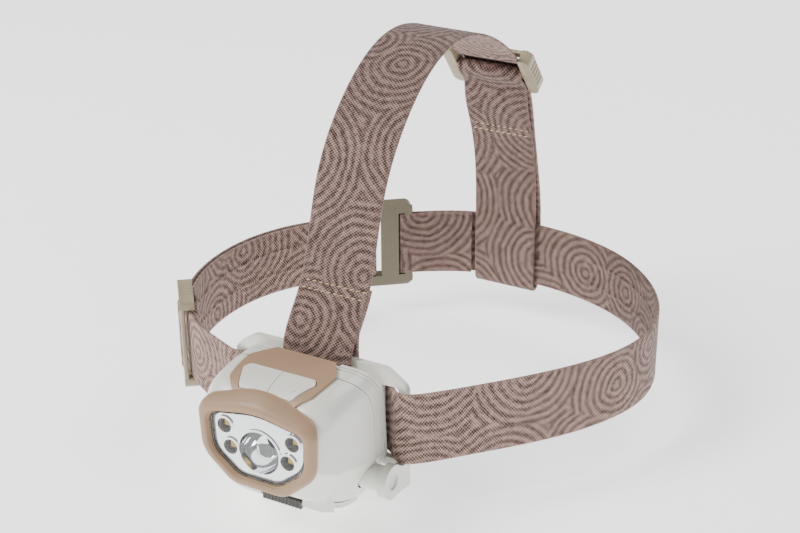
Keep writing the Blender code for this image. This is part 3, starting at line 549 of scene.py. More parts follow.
def woven(name, path, plane, stands_for, ribs=None):
    """A length of webbing along a path, with selvedges, and grip ribs where `ribs` asks for them.

    `ribs` is (height to the left, height to the right) for each point of the path, as shares of rib_high.
    The attribute "run" holds (distance along, distance across, side) in metres for the weave and for the
    painted shade on one face.
    """
    sizes = bpy.context.scene.headlamp_sizes
    thick = sizes.web_thick / MM / 2
    rib = sizes.rib_high / MM
    half = WEB_HALF
    across = [-half, -half + 0.35, -half + 0.9, -half + 1.7]
    across += list(np.linspace(-half + 3.0, -7.0, 4))
    across += [-6.3, -5.9, -5.5, -5.1, -4.7, -3.0, 0.0]
    across = np.array([*across, *[-w for w in across[-2::-1]]])
    body = np.full(len(across), thick * 0.94)
    body[[0, -1]] = thick * 0.45
    body[[1, -2]] = thick * 0.85
    body[[2, -3]] = thick
    rise = np.array([max(0.0, 1 - ((abs(w) - RIB_SPOT) / RIB_HALF) ** 2) for w in across]) * rib
    run = travelled(path)
    normal = left_normals(path)
    shares = np.zeros((len(path), 2)) if ribs is None else ribs
    verts, coords = [], []
    for i, point in enumerate(path):
        sway = 0.12 * math.sin(run[i] / 23.0) + 0.07 * math.sin(run[i] / 7.1 + 1.0)
        left = body + rise * shares[i][0]
        right = -(body + rise * shares[i][1])
        ring = [*zip(across, left), *zip(across[::-1], right[::-1])]
        for w, n in ring:
            wide = w * (1 - 0.004 * (1 + math.sin(run[i] / 11.0))) + sway * 0.3
            spot = point + normal[i] * n
            place = (spot[0], spot[1], wide) if plane == "XY" else (wide, spot[0], spot[1])
            verts.append([c * MM for c in place])
            # The side value marks which face a point lies on; the webbing material paints shade on the
            # left-side face from it
            coords.append((run[i] * MM, w * MM, math.copysign(1.0, n) * MM))
    count = 2 * len(across)
    faces = []
    for i in range(len(path) - 1):
        for k in range(count):
            m = (k + 1) % count
            faces.append((i * count + k, i * count + m, (i + 1) * count + m, (i + 1) * count + k))
    faces.append(tuple(range(count))[::-1])
    faces.append(tuple(range((len(path) - 1) * count, len(path) * count)))
    mesh = bpy.data.meshes.new(name)
    mesh.from_pydata(verts, [], faces)
    run_data = mesh.attributes.new("run", "FLOAT_VECTOR", "POINT")
    run_data.data.foreach_set("vector", np.array(coords, np.float32).ravel())
    bm = bmesh.new()
    bm.from_mesh(mesh)
    bmesh.ops.recalc_face_normals(bm, faces=bm.faces)
    bm.to_mesh(mesh)
    bm.free()
    made = bpy.data.objects.new(name, mesh)
    bpy.context.scene.collection.objects.link(made)
    mesh.materials.append(finish_named("webbing"))
    mesh.shade_smooth()
    mesh.set_sharp_from_angle(angle=math.radians(60))
    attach(made, "harness")
    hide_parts(*stands_for)
    return made


# The lamp body


def body_section(y, grow):
    """The outline of the lamp body at one depth, moved outward by `grow`."""
    curve = spline(STATIONS, 80)
    half, top, crease, low_half, low = (np.interp(y, curve[:, 0], curve[:, k]) for k in range(1, 6))
    corners = [
        (-low_half, low), (low_half, low), (half, crease),
        (half - 1.5, top), (1.5 - half, top), (-half, crease),
    ]
    outline = rounded(grown(corners, grow), [max(r + grow, 0.6) for r in CORNER_ROUNDS], 12)
    return [(p[0], y, p[1]) for p in outline]


def body_loft(front, rear, grow):
    """The whole lamp body between two depths, with a section about every millimetre."""
    count = max(int(abs(rear - front)), 2) + 1
    return skin([body_section(y, grow) for y in np.linspace(front, rear, count)])


def seam_y(z, shift=0.0):
    return SEAM_Y + shift - SEAM_LEAN * (max(z - SEAM_BEND_Z, 0.0) / 18.0) ** 2


def back_y(z, shift=0.0):
    return BACK_Y + shift - BACK_LEAN * (max(z - BACK_BEND_Z, 0.0) / 16.0) ** 2


def side_line(function, low, high, count, shift=0.0):
    return [(function(z, shift), z) for z in np.linspace(low, high, count)]


def front_region(shift):
    """The side view of everything ahead of the seam."""
    seam = side_line(seam_y, -50.0, 40.0, 61, shift)
    return prism([(-140.0, -50.0), *seam, (-140.0, 40.0)], *WHOLE_WIDTH, "X")


def rear_region(inset):
    """The side view of the battery tray, between the seam and its rounded back."""
    foot = (-92.0, HEEL_Z - HEEL_RADIUS + inset)
    heel = arc((BACK_Y - HEEL_RADIUS, HEEL_Z), HEEL_RADIUS - inset, -90.0, 0.0, 14)
    back = side_line(back_y, PIVOT[2] + 1.0, 40.0, 44, -inset)
    seam = side_line(seam_y, -50.0, 40.0, 61, CLEAR - 14.0 * bool(inset))
    return prism([(foot[0], -50.0), foot, *heel, *back, *seam[::-1]], *WHOLE_WIDTH, "X")


def groove_sheet(line, wide, deep):
    """A thin ring-shaped cutter that scores the lamp body along a side view line."""
    outer = [(y - wide / 2, z) for y, z in line]
    inner = [(y + wide / 2, z) for y, z in line]
    slab = prism([*outer, *inner[::-1]], *WHOLE_WIDTH, "X")
    return cut_through(slab, [body_loft(-125.0, -78.0, -deep)])


def lens_outline(grow):
    return rounded(grown(LENS_CORNERS, grow), [max(r + grow, 0.5) for r in LENS_ROUNDS], 14)


def rod(radius, low, high, centre, axis, count=24):
    return turned([(radius, low), (radius, high)], centre, axis, count)


def bored(bm, radius, pin):
    """The mesh with a bore for a pin that lies along X."""
    return cut_through(bm, [rod(radius, -BORE_HALF, BORE_HALF, pin, "X")])


def span(side, near, far):
    """Two distances from the middle, on one side of it, low end first."""
    return sorted((side * near, side * far))


def bosses(radius, inner, outer):
    return [rod(radius, *span(side, inner, outer), PIVOT, "X", 40) for side in (-1, 1)]


def bezel_ring():
    """The frame round the lens: broad along its top, where it reaches back over the housing as a brow."""
    inner = lens_outline(0.0)
    outer = rounded(BEZEL_CORNERS, BEZEL_ROUNDS, 14)
    profile = [(0.06, FACE_Y - 0.1), (0.06, -128.0), (0.09, -128.5), (0.15, -128.6), (0.17, -129.1)]
    profile += [(0.24, BEZEL_FRONT_Y - 0.05), (0.33, BEZEL_FRONT_Y - 0.2)]
    for k in range(1, 9):
        a = math.radians(11.25 * k)
        profile.append((0.33 + 0.67 * math.sin(a), BEZEL_FRONT_Y - 0.2 + 2.6 * (1 - math.cos(a))))
    profile += [(1.0, FACE_Y - 0.1), (0.3, FACE_Y - 0.1)]
    rings = []
    for number, (share, y) in enumerate(profile):
        outline = inner + (outer - inner) * share
        reach = BROW_DEEP * max(0.0, share - 0.55) / 0.45 if number > 6 and number < len(profile) - 1 else 0.0
        brow = np.clip((outline[:, 1] - 13.0) / 8.0, 0.0, 1.0) ** 1.5 * reach
        rings.append([(p[0], y + b, p[1]) for p, b in zip(outline, brow)])
    return skin(rings, closed=True)


def skin_slab(plan, low_grow, high_grow, z_low, z_high, front=-127.0):
    """A slab that follows the lamp body's skin, cut to an outline seen from above."""
    slab = cut_through(body_loft(front, -82.0, high_grow), [body_loft(front - 1.0, -81.0, low_grow)])
    return cut_through(slab, [prism(plan, z_low, z_high, "Z")], "INTERSECT")


def turned_about(bm, pin, degrees):
    """Turns a mesh about a pin that lies along X."""
    turn = Matrix.Rotation(math.radians(degrees), 4, "X")
    there, back = Matrix.Translation(pin), Matrix.Translation(-Vector(pin))
    bmesh.ops.transform(bm, matrix=there @ turn @ back, verts=bm.verts)
    return bm


def window_plan(inset=0.0):
    plan = both_halves(WINDOW_HALF_PLAN, WINDOW_HALF_ROUNDS)
    if not inset:
        return plan
    centre = plan.mean(axis=0)
    reach = np.linalg.norm(plan - centre, axis=1)[:, None]
    return plan - (plan - centre) / reach * inset


# Materials


def empty_material(name):
    """A new material with nothing in its node tree yet."""
    material = bpy.data.materials.new(name)
    material.use_nodes = True
    tree = material.node_tree
    tree.nodes.clear()
    return material, tree.nodes, tree.links


def moulded_plastic(name, colour, roughness, coat, grain_size, grain_depth, mottle, wear):
    """Moulded plastic with a fine spark-eroded grain, faint cloudiness in its colour and rubbed edges."""
    material, nodes, links = empty_material(name)

    place = nodes.new("ShaderNodeTexCoord")
    place.label = "position on the part"
    cloud = nodes.new("ShaderNodeTexNoise")
    cloud.label = "cloudiness of the plastic"
    tint = nodes.new("ShaderNodeValToRGB")
    tint.label = "cloudy colour"
    grain = nodes.new("ShaderNodeTexNoise")
    grain.label = "mould grain"
    emboss = nodes.new("ShaderNodeBump")
    emboss.label = "grain relief"
    rubbed = nodes.new("ShaderNodeTexNoise")
    rubbed.label = "handling marks"
    gloss = nodes.new("ShaderNodeMapRange")
    gloss.label = "gloss where it is rubbed"
    edges = nodes.new("ShaderNodeNewGeometry")
    edges.label = "outer edges"
    worn = nodes.new("ShaderNodeMapRange")
    worn.label = "wear on the edges"
    blend = nodes.new("ShaderNodeMix")
    blend.label = "worn edge over plastic"
    plastic = nodes.new("ShaderNodeBsdfPrincipled")
    plastic.label = "plastic"
    surface = nodes.new("ShaderNodeOutputMaterial")
    surface.label = "surface"

    groups = {
        "colour": (cloud, tint, edges, worn, blend),
        "relief": (grain, emboss),
        "gloss": (rubbed, gloss),
    }
    for title, members in groups.items():
        holder = nodes.new("NodeFrame")
        holder.label = title
        for member in members:
            member.parent = holder
    columns = (place, cloud, tint, edges, worn, blend, grain, emboss, rubbed, gloss, plastic, surface)
    for i, node in enumerate(columns):
        node.location = (220 * (i % 6), -320 * (i // 6))

    cloud.inputs["Scale"].default_value = 55.0
    cloud.inputs["Detail"].default_value = 3.0
    tint.color_ramp.elements[0].position = 0.3
    tint.color_ramp.elements[0].color = (*[c * (1 - mottle) for c in colour], 1.0)
    tint.color_ramp.elements[1].position = 0.7
    tint.color_ramp.elements[1].color = (*[min(c * (1 + mottle * 0.5), 1.0) for c in colour], 1.0)
    grain.inputs["Scale"].default_value = 1.0 / (grain_size * MM)
    grain.inputs["Detail"].default_value = 2.0
    emboss.inputs["Strength"].default_value = 0.35
    emboss.inputs["Distance"].default_value = grain_depth * MM
    rubbed.inputs["Scale"].default_value = 120.0
    rubbed.inputs["Detail"].default_value = 5.0
    gloss.inputs["To Min"].default_value = roughness - 0.05
    gloss.inputs["To Max"].default_value = roughness + 0.08
    worn.inputs["From Min"].default_value = 0.53
    worn.inputs["From Max"].default_value = 0.62
    worn.inputs["To Max"].default_value = wear
    blend.data_type = "RGBA"
    blend.inputs[7].default_value = (*[min(c * 1.25 + 0.03, 1.0) for c in colour], 1.0)
    plastic.inputs["Coat Weight"].default_value = coat
    plastic.inputs["Coat Roughness"].default_value = 0.12

    links.new(place.outputs["Object"], cloud.inputs["Vector"])
    links.new(place.outputs["Object"], grain.inputs["Vector"])
    links.new(place.outputs["Object"], rubbed.inputs["Vector"])
    links.new(cloud.outputs["Fac"], tint.inputs["Fac"])
    links.new(edges.outputs["Pointiness"], worn.inputs["Value"])
    links.new(worn.outputs["Result"], blend.inputs[0])
    links.new(tint.outputs["Color"], blend.inputs[6])
    links.new(blend.outputs[2], plastic.inputs["Base Color"])
    links.new(grain.outputs["Fac"], emboss.inputs["Height"])
    links.new(emboss.outputs["Normal"], plastic.inputs["Normal"])
    links.new(rubbed.outputs["Fac"], gloss.inputs["Value"])
    links.new(gloss.outputs["Result"], plastic.inputs["Roughness"])
    links.new(plastic.outputs["BSDF"], surface.inputs["Surface"])
    return material


def webbing_material(name, ground, thread, pitch, swirl_pitch):
    """Elastic webbing: light face threads over a dark ground, woven in swirls, with firm selvedges, and
    painted shade that darkens one face of the strap.
    """
    material, nodes, links = empty_material(name)

    run = nodes.new("ShaderNodeAttribute")
    run.label = "place on the strap"
    one_way = nodes.new("ShaderNodeMapping")
    one_way.label = "turn to the first diagonal"
    other_way = nodes.new("ShaderNodeMapping")
    other_way.label = "turn to the second diagonal"
    warp = nodes.new("ShaderNodeTexWave")
    warp.label = "first diagonal threads"
    weft = nodes.new("ShaderNodeTexWave")
    weft.label = "second diagonal threads"
    crossing = nodes.new("ShaderNodeMath")
    crossing.label = "thread crossings"
    fuzz = nodes.new("ShaderNodeTexNoise")
    fuzz.label = "uneven yarn"
    yarn = nodes.new("ShaderNodeMath")
    yarn.label = "yarn and crossings"
    sway = nodes.new("ShaderNodeTexNoise")
    sway.label = "hand-drawn sway"
    swayed = nodes.new("ShaderNodeVectorMath")
    swayed.label = "swayed place"
    centres = nodes.new("ShaderNodeTexVoronoi")
    centres.label = "distance to a swirl centre"
    turns = nodes.new("ShaderNodeMath")
    turns.label = "rings counted outward"
    rings = nodes.new("ShaderNodeMath")
    rings.label = "swirl rings"
    swirled = nodes.new("ShaderNodeMath")
    swirled.label = "threads lifted by the swirl"
    contrast = nodes.new("ShaderNodeMapRange")
    contrast.label = "contrast of the weave"
    face = nodes.new("ShaderNodeValToRGB")
    face.label = "ground to thread colour"
    patch = nodes.new("ShaderNodeTexNoise")
    patch.label = "faded patches"
    fade = nodes.new("ShaderNodeMapRange")
    fade.label = "fading"
    faded = nodes.new("ShaderNodeHueSaturation")
    faded.label = "faded threads"
    split = nodes.new("ShaderNodeSeparateXYZ")
    split.label = "distance across"
    aside = nodes.new("ShaderNodeMath")
    aside.label = "distance from the middle"
    selvedge = nodes.new("ShaderNodeMapRange")
    selvedge.label = "selvedge"
    edged = nodes.new("ShaderNodeMix")
    edged.label = "lighter selvedge"
    # Painted shade: the face on the strap's left side (positive side value in "run") is multiplied darker,
    # standing in for shade on the straps' inner faces
    painted_shade_side = nodes.new("ShaderNodeMapRange")
    painted_shade_side.label = "which face of the strap"
    painted_face_shade = nodes.new("ShaderNodeMix")
    painted_face_shade.label = "painted shade on one face"
    relief = nodes.new("ShaderNodeBump")
    relief.label = "woven relief"
    cloth = nodes.new("ShaderNodeBsdfPrincipled")
    cloth.label = "elastic cloth"
    surface = nodes.new("ShaderNodeOutputMaterial")
    surface.label = "surface"

    groups = {
        "weave": (one_way, other_way, warp, weft, crossing, fuzz, yarn),
        "swirls": (sway, swayed, centres, turns, rings, swirled, contrast),
        "colour": (face, patch, fade, faded),
        "selvedge": (split, aside, selvedge, edged),
        # The frame titled "lining" holds the painted shade on one face of the strap, not a lining colour
        "lining": (painted_shade_side, painted_face_shade),
        "relief": (relief,),
    }
    for title, members in groups.items():
        holder = nodes.new("NodeFrame")
        holder.label = title
        for member in members:
            member.parent = holder
    columns = (
        run, one_way, warp, other_way, weft, crossing, fuzz, yarn, sway, swayed,
        centres, turns, rings, swirled, contrast, face, patch, fade, faded, split,
        aside, selvedge, edged, painted_shade_side, painted_face_shade, relief, cloth, surface,
    )
    for i, node in enumerate(columns):
        node.location = (220 * (i % 8), -320 * (i // 8))

    wave_scale = 2 * math.pi / 20.0
    run.attribute_name = "run"
    one_way.inputs["Rotation"].default_value = (0.0, 0.0, math.radians(38.0))
    other_way.inputs["Rotation"].default_value = (0.0, 0.0, math.radians(-38.0))
    for threads in (warp, weft):
        threads.inputs["Scale"].default_value = wave_scale / pitch
        threads.inputs["Distortion"].default_value = 0.9
        threads.inputs["Detail Scale"].default_value = 0.5
    crossing.operation = "ADD"
    fuzz.inputs["Scale"].default_value = 0.6 / pitch
    fuzz.inputs["Detail"].default_value = 3.0
    yarn.operation = "MULTIPLY_ADD"
    yarn.inputs[1].default_value = 0.42
    sway.inputs["Scale"].default_value = 70.0
    swayed.operation = "MULTIPLY_ADD"
    swayed.inputs[1].default_value = (0.004, 0.004, 0.0)
    centres.voronoi_dimensions = "2D"
    centres.inputs["Scale"].default_value = 1 / SWIRL_CELL
    centres.inputs["Randomness"].default_value = 0.8
    turns.operation = "MULTIPLY"
    turns.inputs[1].default_value = 2 * math.pi * SWIRL_CELL / swirl_pitch
    rings.operation = "SINE"
    swirled.operation = "MULTIPLY_ADD"
    swirled.inputs[1].default_value = 0.2
    contrast.inputs["From Min"].default_value = 0.5
    contrast.inputs["From Max"].default_value = 1.4
    face.color_ramp.elements[0].position = 0.08
    face.color_ramp.elements[0].color = (*ground, 1.0)
    face.color_ramp.elements[1].position = 0.92
    face.color_ramp.elements[1].color = (*thread, 1.0)
    patch.inputs["Scale"].default_value = 30.0
    fade.inputs["To Min"].default_value = 0.86
    fade.inputs["To Max"].default_value = 1.14
    aside.operation = "ABSOLUTE"
    selvedge.inputs["From Min"].default_value = SELVEDGE_SPOT * MM
    selvedge.inputs["From Max"].default_value = (SELVEDGE_SPOT + 0.7) * MM
    selvedge.inputs["To Max"].default_value = 0.4
    edged.data_type = "RGBA"
    edged.inputs[7].default_value = (*[c * 0.8 for c in thread], 1.0)
    # Painted shade: up to 0.55 of a multiply by dark grey on the left-side face
    painted_shade_side.inputs["From Min"].default_value = -MM
    painted_shade_side.inputs["From Max"].default_value = MM
    painted_shade_side.inputs["To Max"].default_value = 0.55
    painted_face_shade.data_type = "RGBA"
    painted_face_shade.blend_type = "MULTIPLY"
    painted_face_shade.inputs[7].default_value = (0.42, 0.40, 0.42, 1.0)
    relief.inputs["Strength"].default_value = 0.6
    relief.inputs["Distance"].default_value = 0.25 * MM
    cloth.inputs["Roughness"].default_value = 0.9
    cloth.inputs["Specular IOR Level"].default_value = 0.2
    cloth.inputs["Sheen Weight"].default_value = 0.12
    cloth.inputs["Sheen Roughness"].default_value = 0.5

    links.new(run.outputs["Vector"], one_way.inputs["Vector"])
    links.new(run.outputs["Vector"], other_way.inputs["Vector"])
    links.new(one_way.outputs["Vector"], warp.inputs["Vector"])
    links.new(other_way.outputs["Vector"], weft.inputs["Vector"])
    links.new(warp.outputs["Fac"], crossing.inputs[0])
    links.new(weft.outputs["Fac"], crossing.inputs[1])
    links.new(run.outputs["Vector"], fuzz.inputs["Vector"])
    links.new(crossing.outputs["Value"], yarn.inputs[0])
    links.new(fuzz.outputs["Fac"], yarn.inputs[2])
    links.new(run.outputs["Vector"], sway.inputs["Vector"])
    links.new(sway.outputs["Color"], swayed.inputs[0])
    links.new(run.outputs["Vector"], swayed.inputs[2])
    links.new(swayed.outputs["Vector"], centres.inputs["Vector"])
    links.new(centres.outputs["Distance"], turns.inputs[0])
    links.new(turns.outputs["Value"], rings.inputs[0])
    links.new(rings.outputs["Value"], swirled.inputs[0])
    links.new(yarn.outputs["Value"], swirled.inputs[2])
    links.new(swirled.outputs["Value"], contrast.inputs["Value"])
    links.new(contrast.outputs["Result"], face.inputs["Fac"])
    links.new(run.outputs["Vector"], patch.inputs["Vector"])
    links.new(patch.outputs["Fac"], fade.inputs["Value"])
    links.new(face.outputs["Color"], faded.inputs["Color"])
    links.new(fade.outputs["Result"], faded.inputs["Value"])
    links.new(run.outputs["Vector"], split.inputs["Vector"])
    links.new(split.outputs["Y"], aside.inputs[0])
    links.new(aside.outputs["Value"], selvedge.inputs["Value"])
    links.new(selvedge.outputs["Result"], edged.inputs[0])
    links.new(faded.outputs["Color"], edged.inputs[6])
    # Painted shade on one face is multiplied into the thread colour here
    links.new(split.outputs["Z"], painted_shade_side.inputs["Value"])
    links.new(painted_shade_side.outputs["Result"], painted_face_shade.inputs[0])
    links.new(edged.outputs[2], painted_face_shade.inputs[6])
    links.new(painted_face_shade.outputs[2], cloth.inputs["Base Color"])
    links.new(yarn.outputs["Value"], relief.inputs["Height"])
    links.new(relief.outputs["Normal"], cloth.inputs["Normal"])
    links.new(cloth.outputs["BSDF"], surface.inputs["Surface"])
    return material


def metal_material(name, colour, roughness, scratch_scale, relief_depth):
    """Bright metal or metallised plastic with fine streaks in its polish."""
    material, nodes, links = empty_material(name)

    place = nodes.new("ShaderNodeTexCoord")
    place.label = "position on the part"
    stretch = nodes.new("ShaderNodeMapping")
    stretch.label = "streak direction"
    streak = nodes.new("ShaderNodeTexNoise")
    streak.label = "polishing streaks"
    haze = nodes.new("ShaderNodeMapRange")
    haze.label = "streaks in the gloss"
    ripple = nodes.new("ShaderNodeTexNoise")
    ripple.label = "ripple of the surface"
    wave = nodes.new("ShaderNodeBump")
    wave.label = "ripple relief"
    metal = nodes.new("ShaderNodeBsdfPrincipled")
    metal.label = "metal"
    surface = nodes.new("ShaderNodeOutputMaterial")
    surface.label = "surface"

    for title, members in {"polish": (stretch, streak, haze), "ripple": (ripple, wave)}.items():
        holder = nodes.new("NodeFrame")
        holder.label = title
        for member in members:
            member.parent = holder
    for i, node in enumerate((place, stretch, streak, haze, ripple, wave, metal, surface)):
        node.location = (220 * (i % 4), -320 * (i // 4))

    stretch.inputs["Scale"].default_value = (1.0, 1.0, 0.12)
    streak.inputs["Scale"].default_value = scratch_scale
    streak.inputs["Detail"].default_value = 4.0
    haze.inputs["To Min"].default_value = roughness * 0.6
    haze.inputs["To Max"].default_value = roughness * 1.5
    ripple.inputs["Scale"].default_value = 420.0
    ripple.inputs["Detail"].default_value = 1.0
    wave.inputs["Strength"].default_value = 0.4
    wave.inputs["Distance"].default_value = relief_depth * MM
    metal.inputs["Base Color"].default_value = (*colour, 1.0)
    metal.inputs["Metallic"].default_value = 1.0

    links.new(place.outputs["Object"], stretch.inputs["Vector"])
    links.new(stretch.outputs["Vector"], streak.inputs["Vector"])
    links.new(streak.outputs["Fac"], haze.inputs["Value"])
    links.new(haze.outputs["Result"], metal.inputs["Roughness"])
    links.new(place.outputs["Object"], ripple.inputs["Vector"])
    links.new(ripple.outputs["Fac"], wave.inputs["Height"])
    links.new(wave.outputs["Normal"], metal.inputs["Normal"])
    links.new(metal.outputs["BSDF"], surface.inputs["Surface"])
    return material


def lens_material(name):
    """Clear lens plastic with faint flow marks and a few hairline scratches."""
    material, nodes, links = empty_material(name)

    place = nodes.new("ShaderNodeTexCoord")
    place.label = "position on the lens"
    hairline = nodes.new("ShaderNodeTexNoise")
    hairline.label = "hairline scratches"
    rubbed = nodes.new("ShaderNodeMapRange")
    rubbed.label = "scratches in the gloss"
    flow = nodes.new("ShaderNodeTexNoise")
    flow.label = "flow marks"
    relief = nodes.new("ShaderNodeBump")
    relief.label = "flow relief"
    clear = nodes.new("ShaderNodeBsdfPrincipled")
    clear.label = "clear plastic"
    surface = nodes.new("ShaderNodeOutputMaterial")
    surface.label = "surface"

    for title, members in {"scratches": (hairline, rubbed), "flow marks": (flow, relief)}.items():
        holder = nodes.new("NodeFrame")
        holder.label = title
        for member in members:
            member.parent = holder
    for i, node in enumerate((place, hairline, rubbed, flow, relief, clear, surface)):
        node.location = (220 * (i % 4), -320 * (i // 4))

    hairline.inputs["Scale"].default_value = 900.0
    hairline.inputs["Detail"].default_value = 6.0
    rubbed.inputs["From Min"].default_value = 0.55
    rubbed.inputs["From Max"].default_value = 0.75
    rubbed.inputs["To Min"].default_value = 0.01
    rubbed.inputs["To Max"].default_value = 0.06
    flow.inputs["Scale"].default_value = 60.0
    relief.inputs["Strength"].default_value = 0.1
    relief.inputs["Distance"].default_value = 0.05 * MM
    clear.inputs["Base Color"].default_value = (0.97, 0.985, 0.985, 1.0)
    clear.inputs["IOR"].default_value = 1.3
    clear.inputs["Transmission Weight"].default_value = 1.0

    links.new(place.outputs["Object"], hairline.inputs["Vector"])
    links.new(hairline.outputs["Fac"], rubbed.inputs["Value"])
    links.new(rubbed.outputs["Result"], clear.inputs["Roughness"])
    links.new(place.outputs["Object"], flow.inputs["Vector"])
    links.new(flow.outputs["Fac"], relief.inputs["Height"])
    links.new(relief.outputs["Normal"], clear.inputs["Normal"])
    links.new(clear.outputs["BSDF"], surface.inputs["Surface"])
    return material


def speckled_material(name, colour, second, scale, roughness, relief_depth):
    """A matte surface in two close colours: phosphor grains, sewing thread, a circuit board or a wrapper."""
    material, nodes, links = empty_material(name)

    place = nodes.new("ShaderNodeTexCoord")
    place.label = "position on the part"
    grains = nodes.new("ShaderNodeTexVoronoi")
    grains.label = "grains"
    colours = nodes.new("ShaderNodeValToRGB")
    colours.label = "grain colours"
    relief = nodes.new("ShaderNodeBump")
    relief.label = "grain relief"
    matte = nodes.new("ShaderNodeBsdfPrincipled")
    matte.label = "matte surface"
    surface = nodes.new("ShaderNodeOutputMaterial")
    surface.label = "surface"

    for title, members in {"colour": (grains, colours), "relief": (relief,)}.items():
        holder = nodes.new("NodeFrame")
        holder.label = title
        for member in members:
            member.parent = holder
    for i, node in enumerate((place, grains, colours, relief, matte, surface)):
        node.location = (220 * i, 0)

    grains.inputs["Scale"].default_value = scale
    colours.color_ramp.elements[0].color = (*colour, 1.0)
    colours.color_ramp.elements[1].color = (*second, 1.0)
    relief.inputs["Strength"].default_value = 0.5
    relief.inputs["Distance"].default_value = relief_depth * MM
    matte.inputs["Roughness"].default_value = roughness

    links.new(place.outputs["Object"], grains.inputs["Vector"])
    links.new(grains.outputs["Distance"], colours.inputs["Fac"])
    links.new(colours.outputs["Color"], matte.inputs["Base Color"])
    links.new(grains.outputs["Distance"], relief.inputs["Height"])
    links.new(relief.outputs["Normal"], matte.inputs["Normal"])
    links.new(matte.outputs["BSDF"], surface.inputs["Surface"])
    return material


def finish_named(name):
    """The material of that name, made the first time that a piece asks for it."""
    title = f"{name}_finish"
    found = bpy.data.materials.get(title)
    if found:
        return found
    sizes = bpy.context.scene.headlamp_sizes
    colours = bpy.context.scene.headlamp_colours
    if name == "pearl_shell":
        return moulded_plastic(title, colours.pearl, 0.3, 0.25, 0.5, 0.01, 0.03, 0.15)
    if name == "tan_bezel":
        return moulded_plastic(title, colours.tan, 0.5, 0.05, 0.35, 0.03, 0.05, 0.35)
    if name == "khaki_slider":
        return moulded_plastic(title, colours.khaki, 0.36, 0.2, 0.4, 0.02, 0.06, 0.5)
    if name == "olive_buckle":
        return moulded_plastic(title, colours.olive, 0.36, 0.2, 0.4, 0.02, 0.06, 0.6)
    if name == "dark_plastic":
        return moulded_plastic(title, (0.045, 0.045, 0.043), 0.55, 0.0, 0.35, 0.03, 0.1, 0.3)
    if name == "webbing":
        return webbing_material(
            title, colours.web_ground, colours.web_thread, sizes.weave_pitch, sizes.swirl_pitch
        )
    if name == "bright_reflector":
        return metal_material(title, (0.86, 0.87, 0.88), 0.06, 300.0, 0.06)
    if name == "steel_pin":
        return metal_material(title, (0.62, 0.62, 0.60), 0.3, 900.0, 0.01)
    if name == "contact_plate":
        return metal_material(title, (0.78, 0.70, 0.45), 0.25, 700.0, 0.01)
    if name == "aluminium_sink":
        return metal_material(title, (0.72, 0.72, 0.73), 0.35, 700.0, 0.02)
    if name == "clear_lens":
        return lens_material(name)
    if name == "led_phosphor":
        return speckled_material(title, colours.phosphor, (0.85, 0.58, 0.18), 3200.0, 0.5, 0.03)
    if name == "sewing_thread":
        return speckled_material(title, colours.stitch, (0.62, 0.48, 0.30), 1800.0, 0.8, 0.08)
    if name == "circuit_board":
        return speckled_material(title, (0.02, 0.10, 0.05), (0.05, 0.17, 0.09), 500.0, 0.45, 0.02)
    if name == "cell_wrap":
        return speckled_material(title, (0.16, 0.16, 0.17), (0.24, 0.24, 0.25), 260.0, 0.35, 0.01)
    raise ValueError(f"no finish is named {name}")


# Pieces


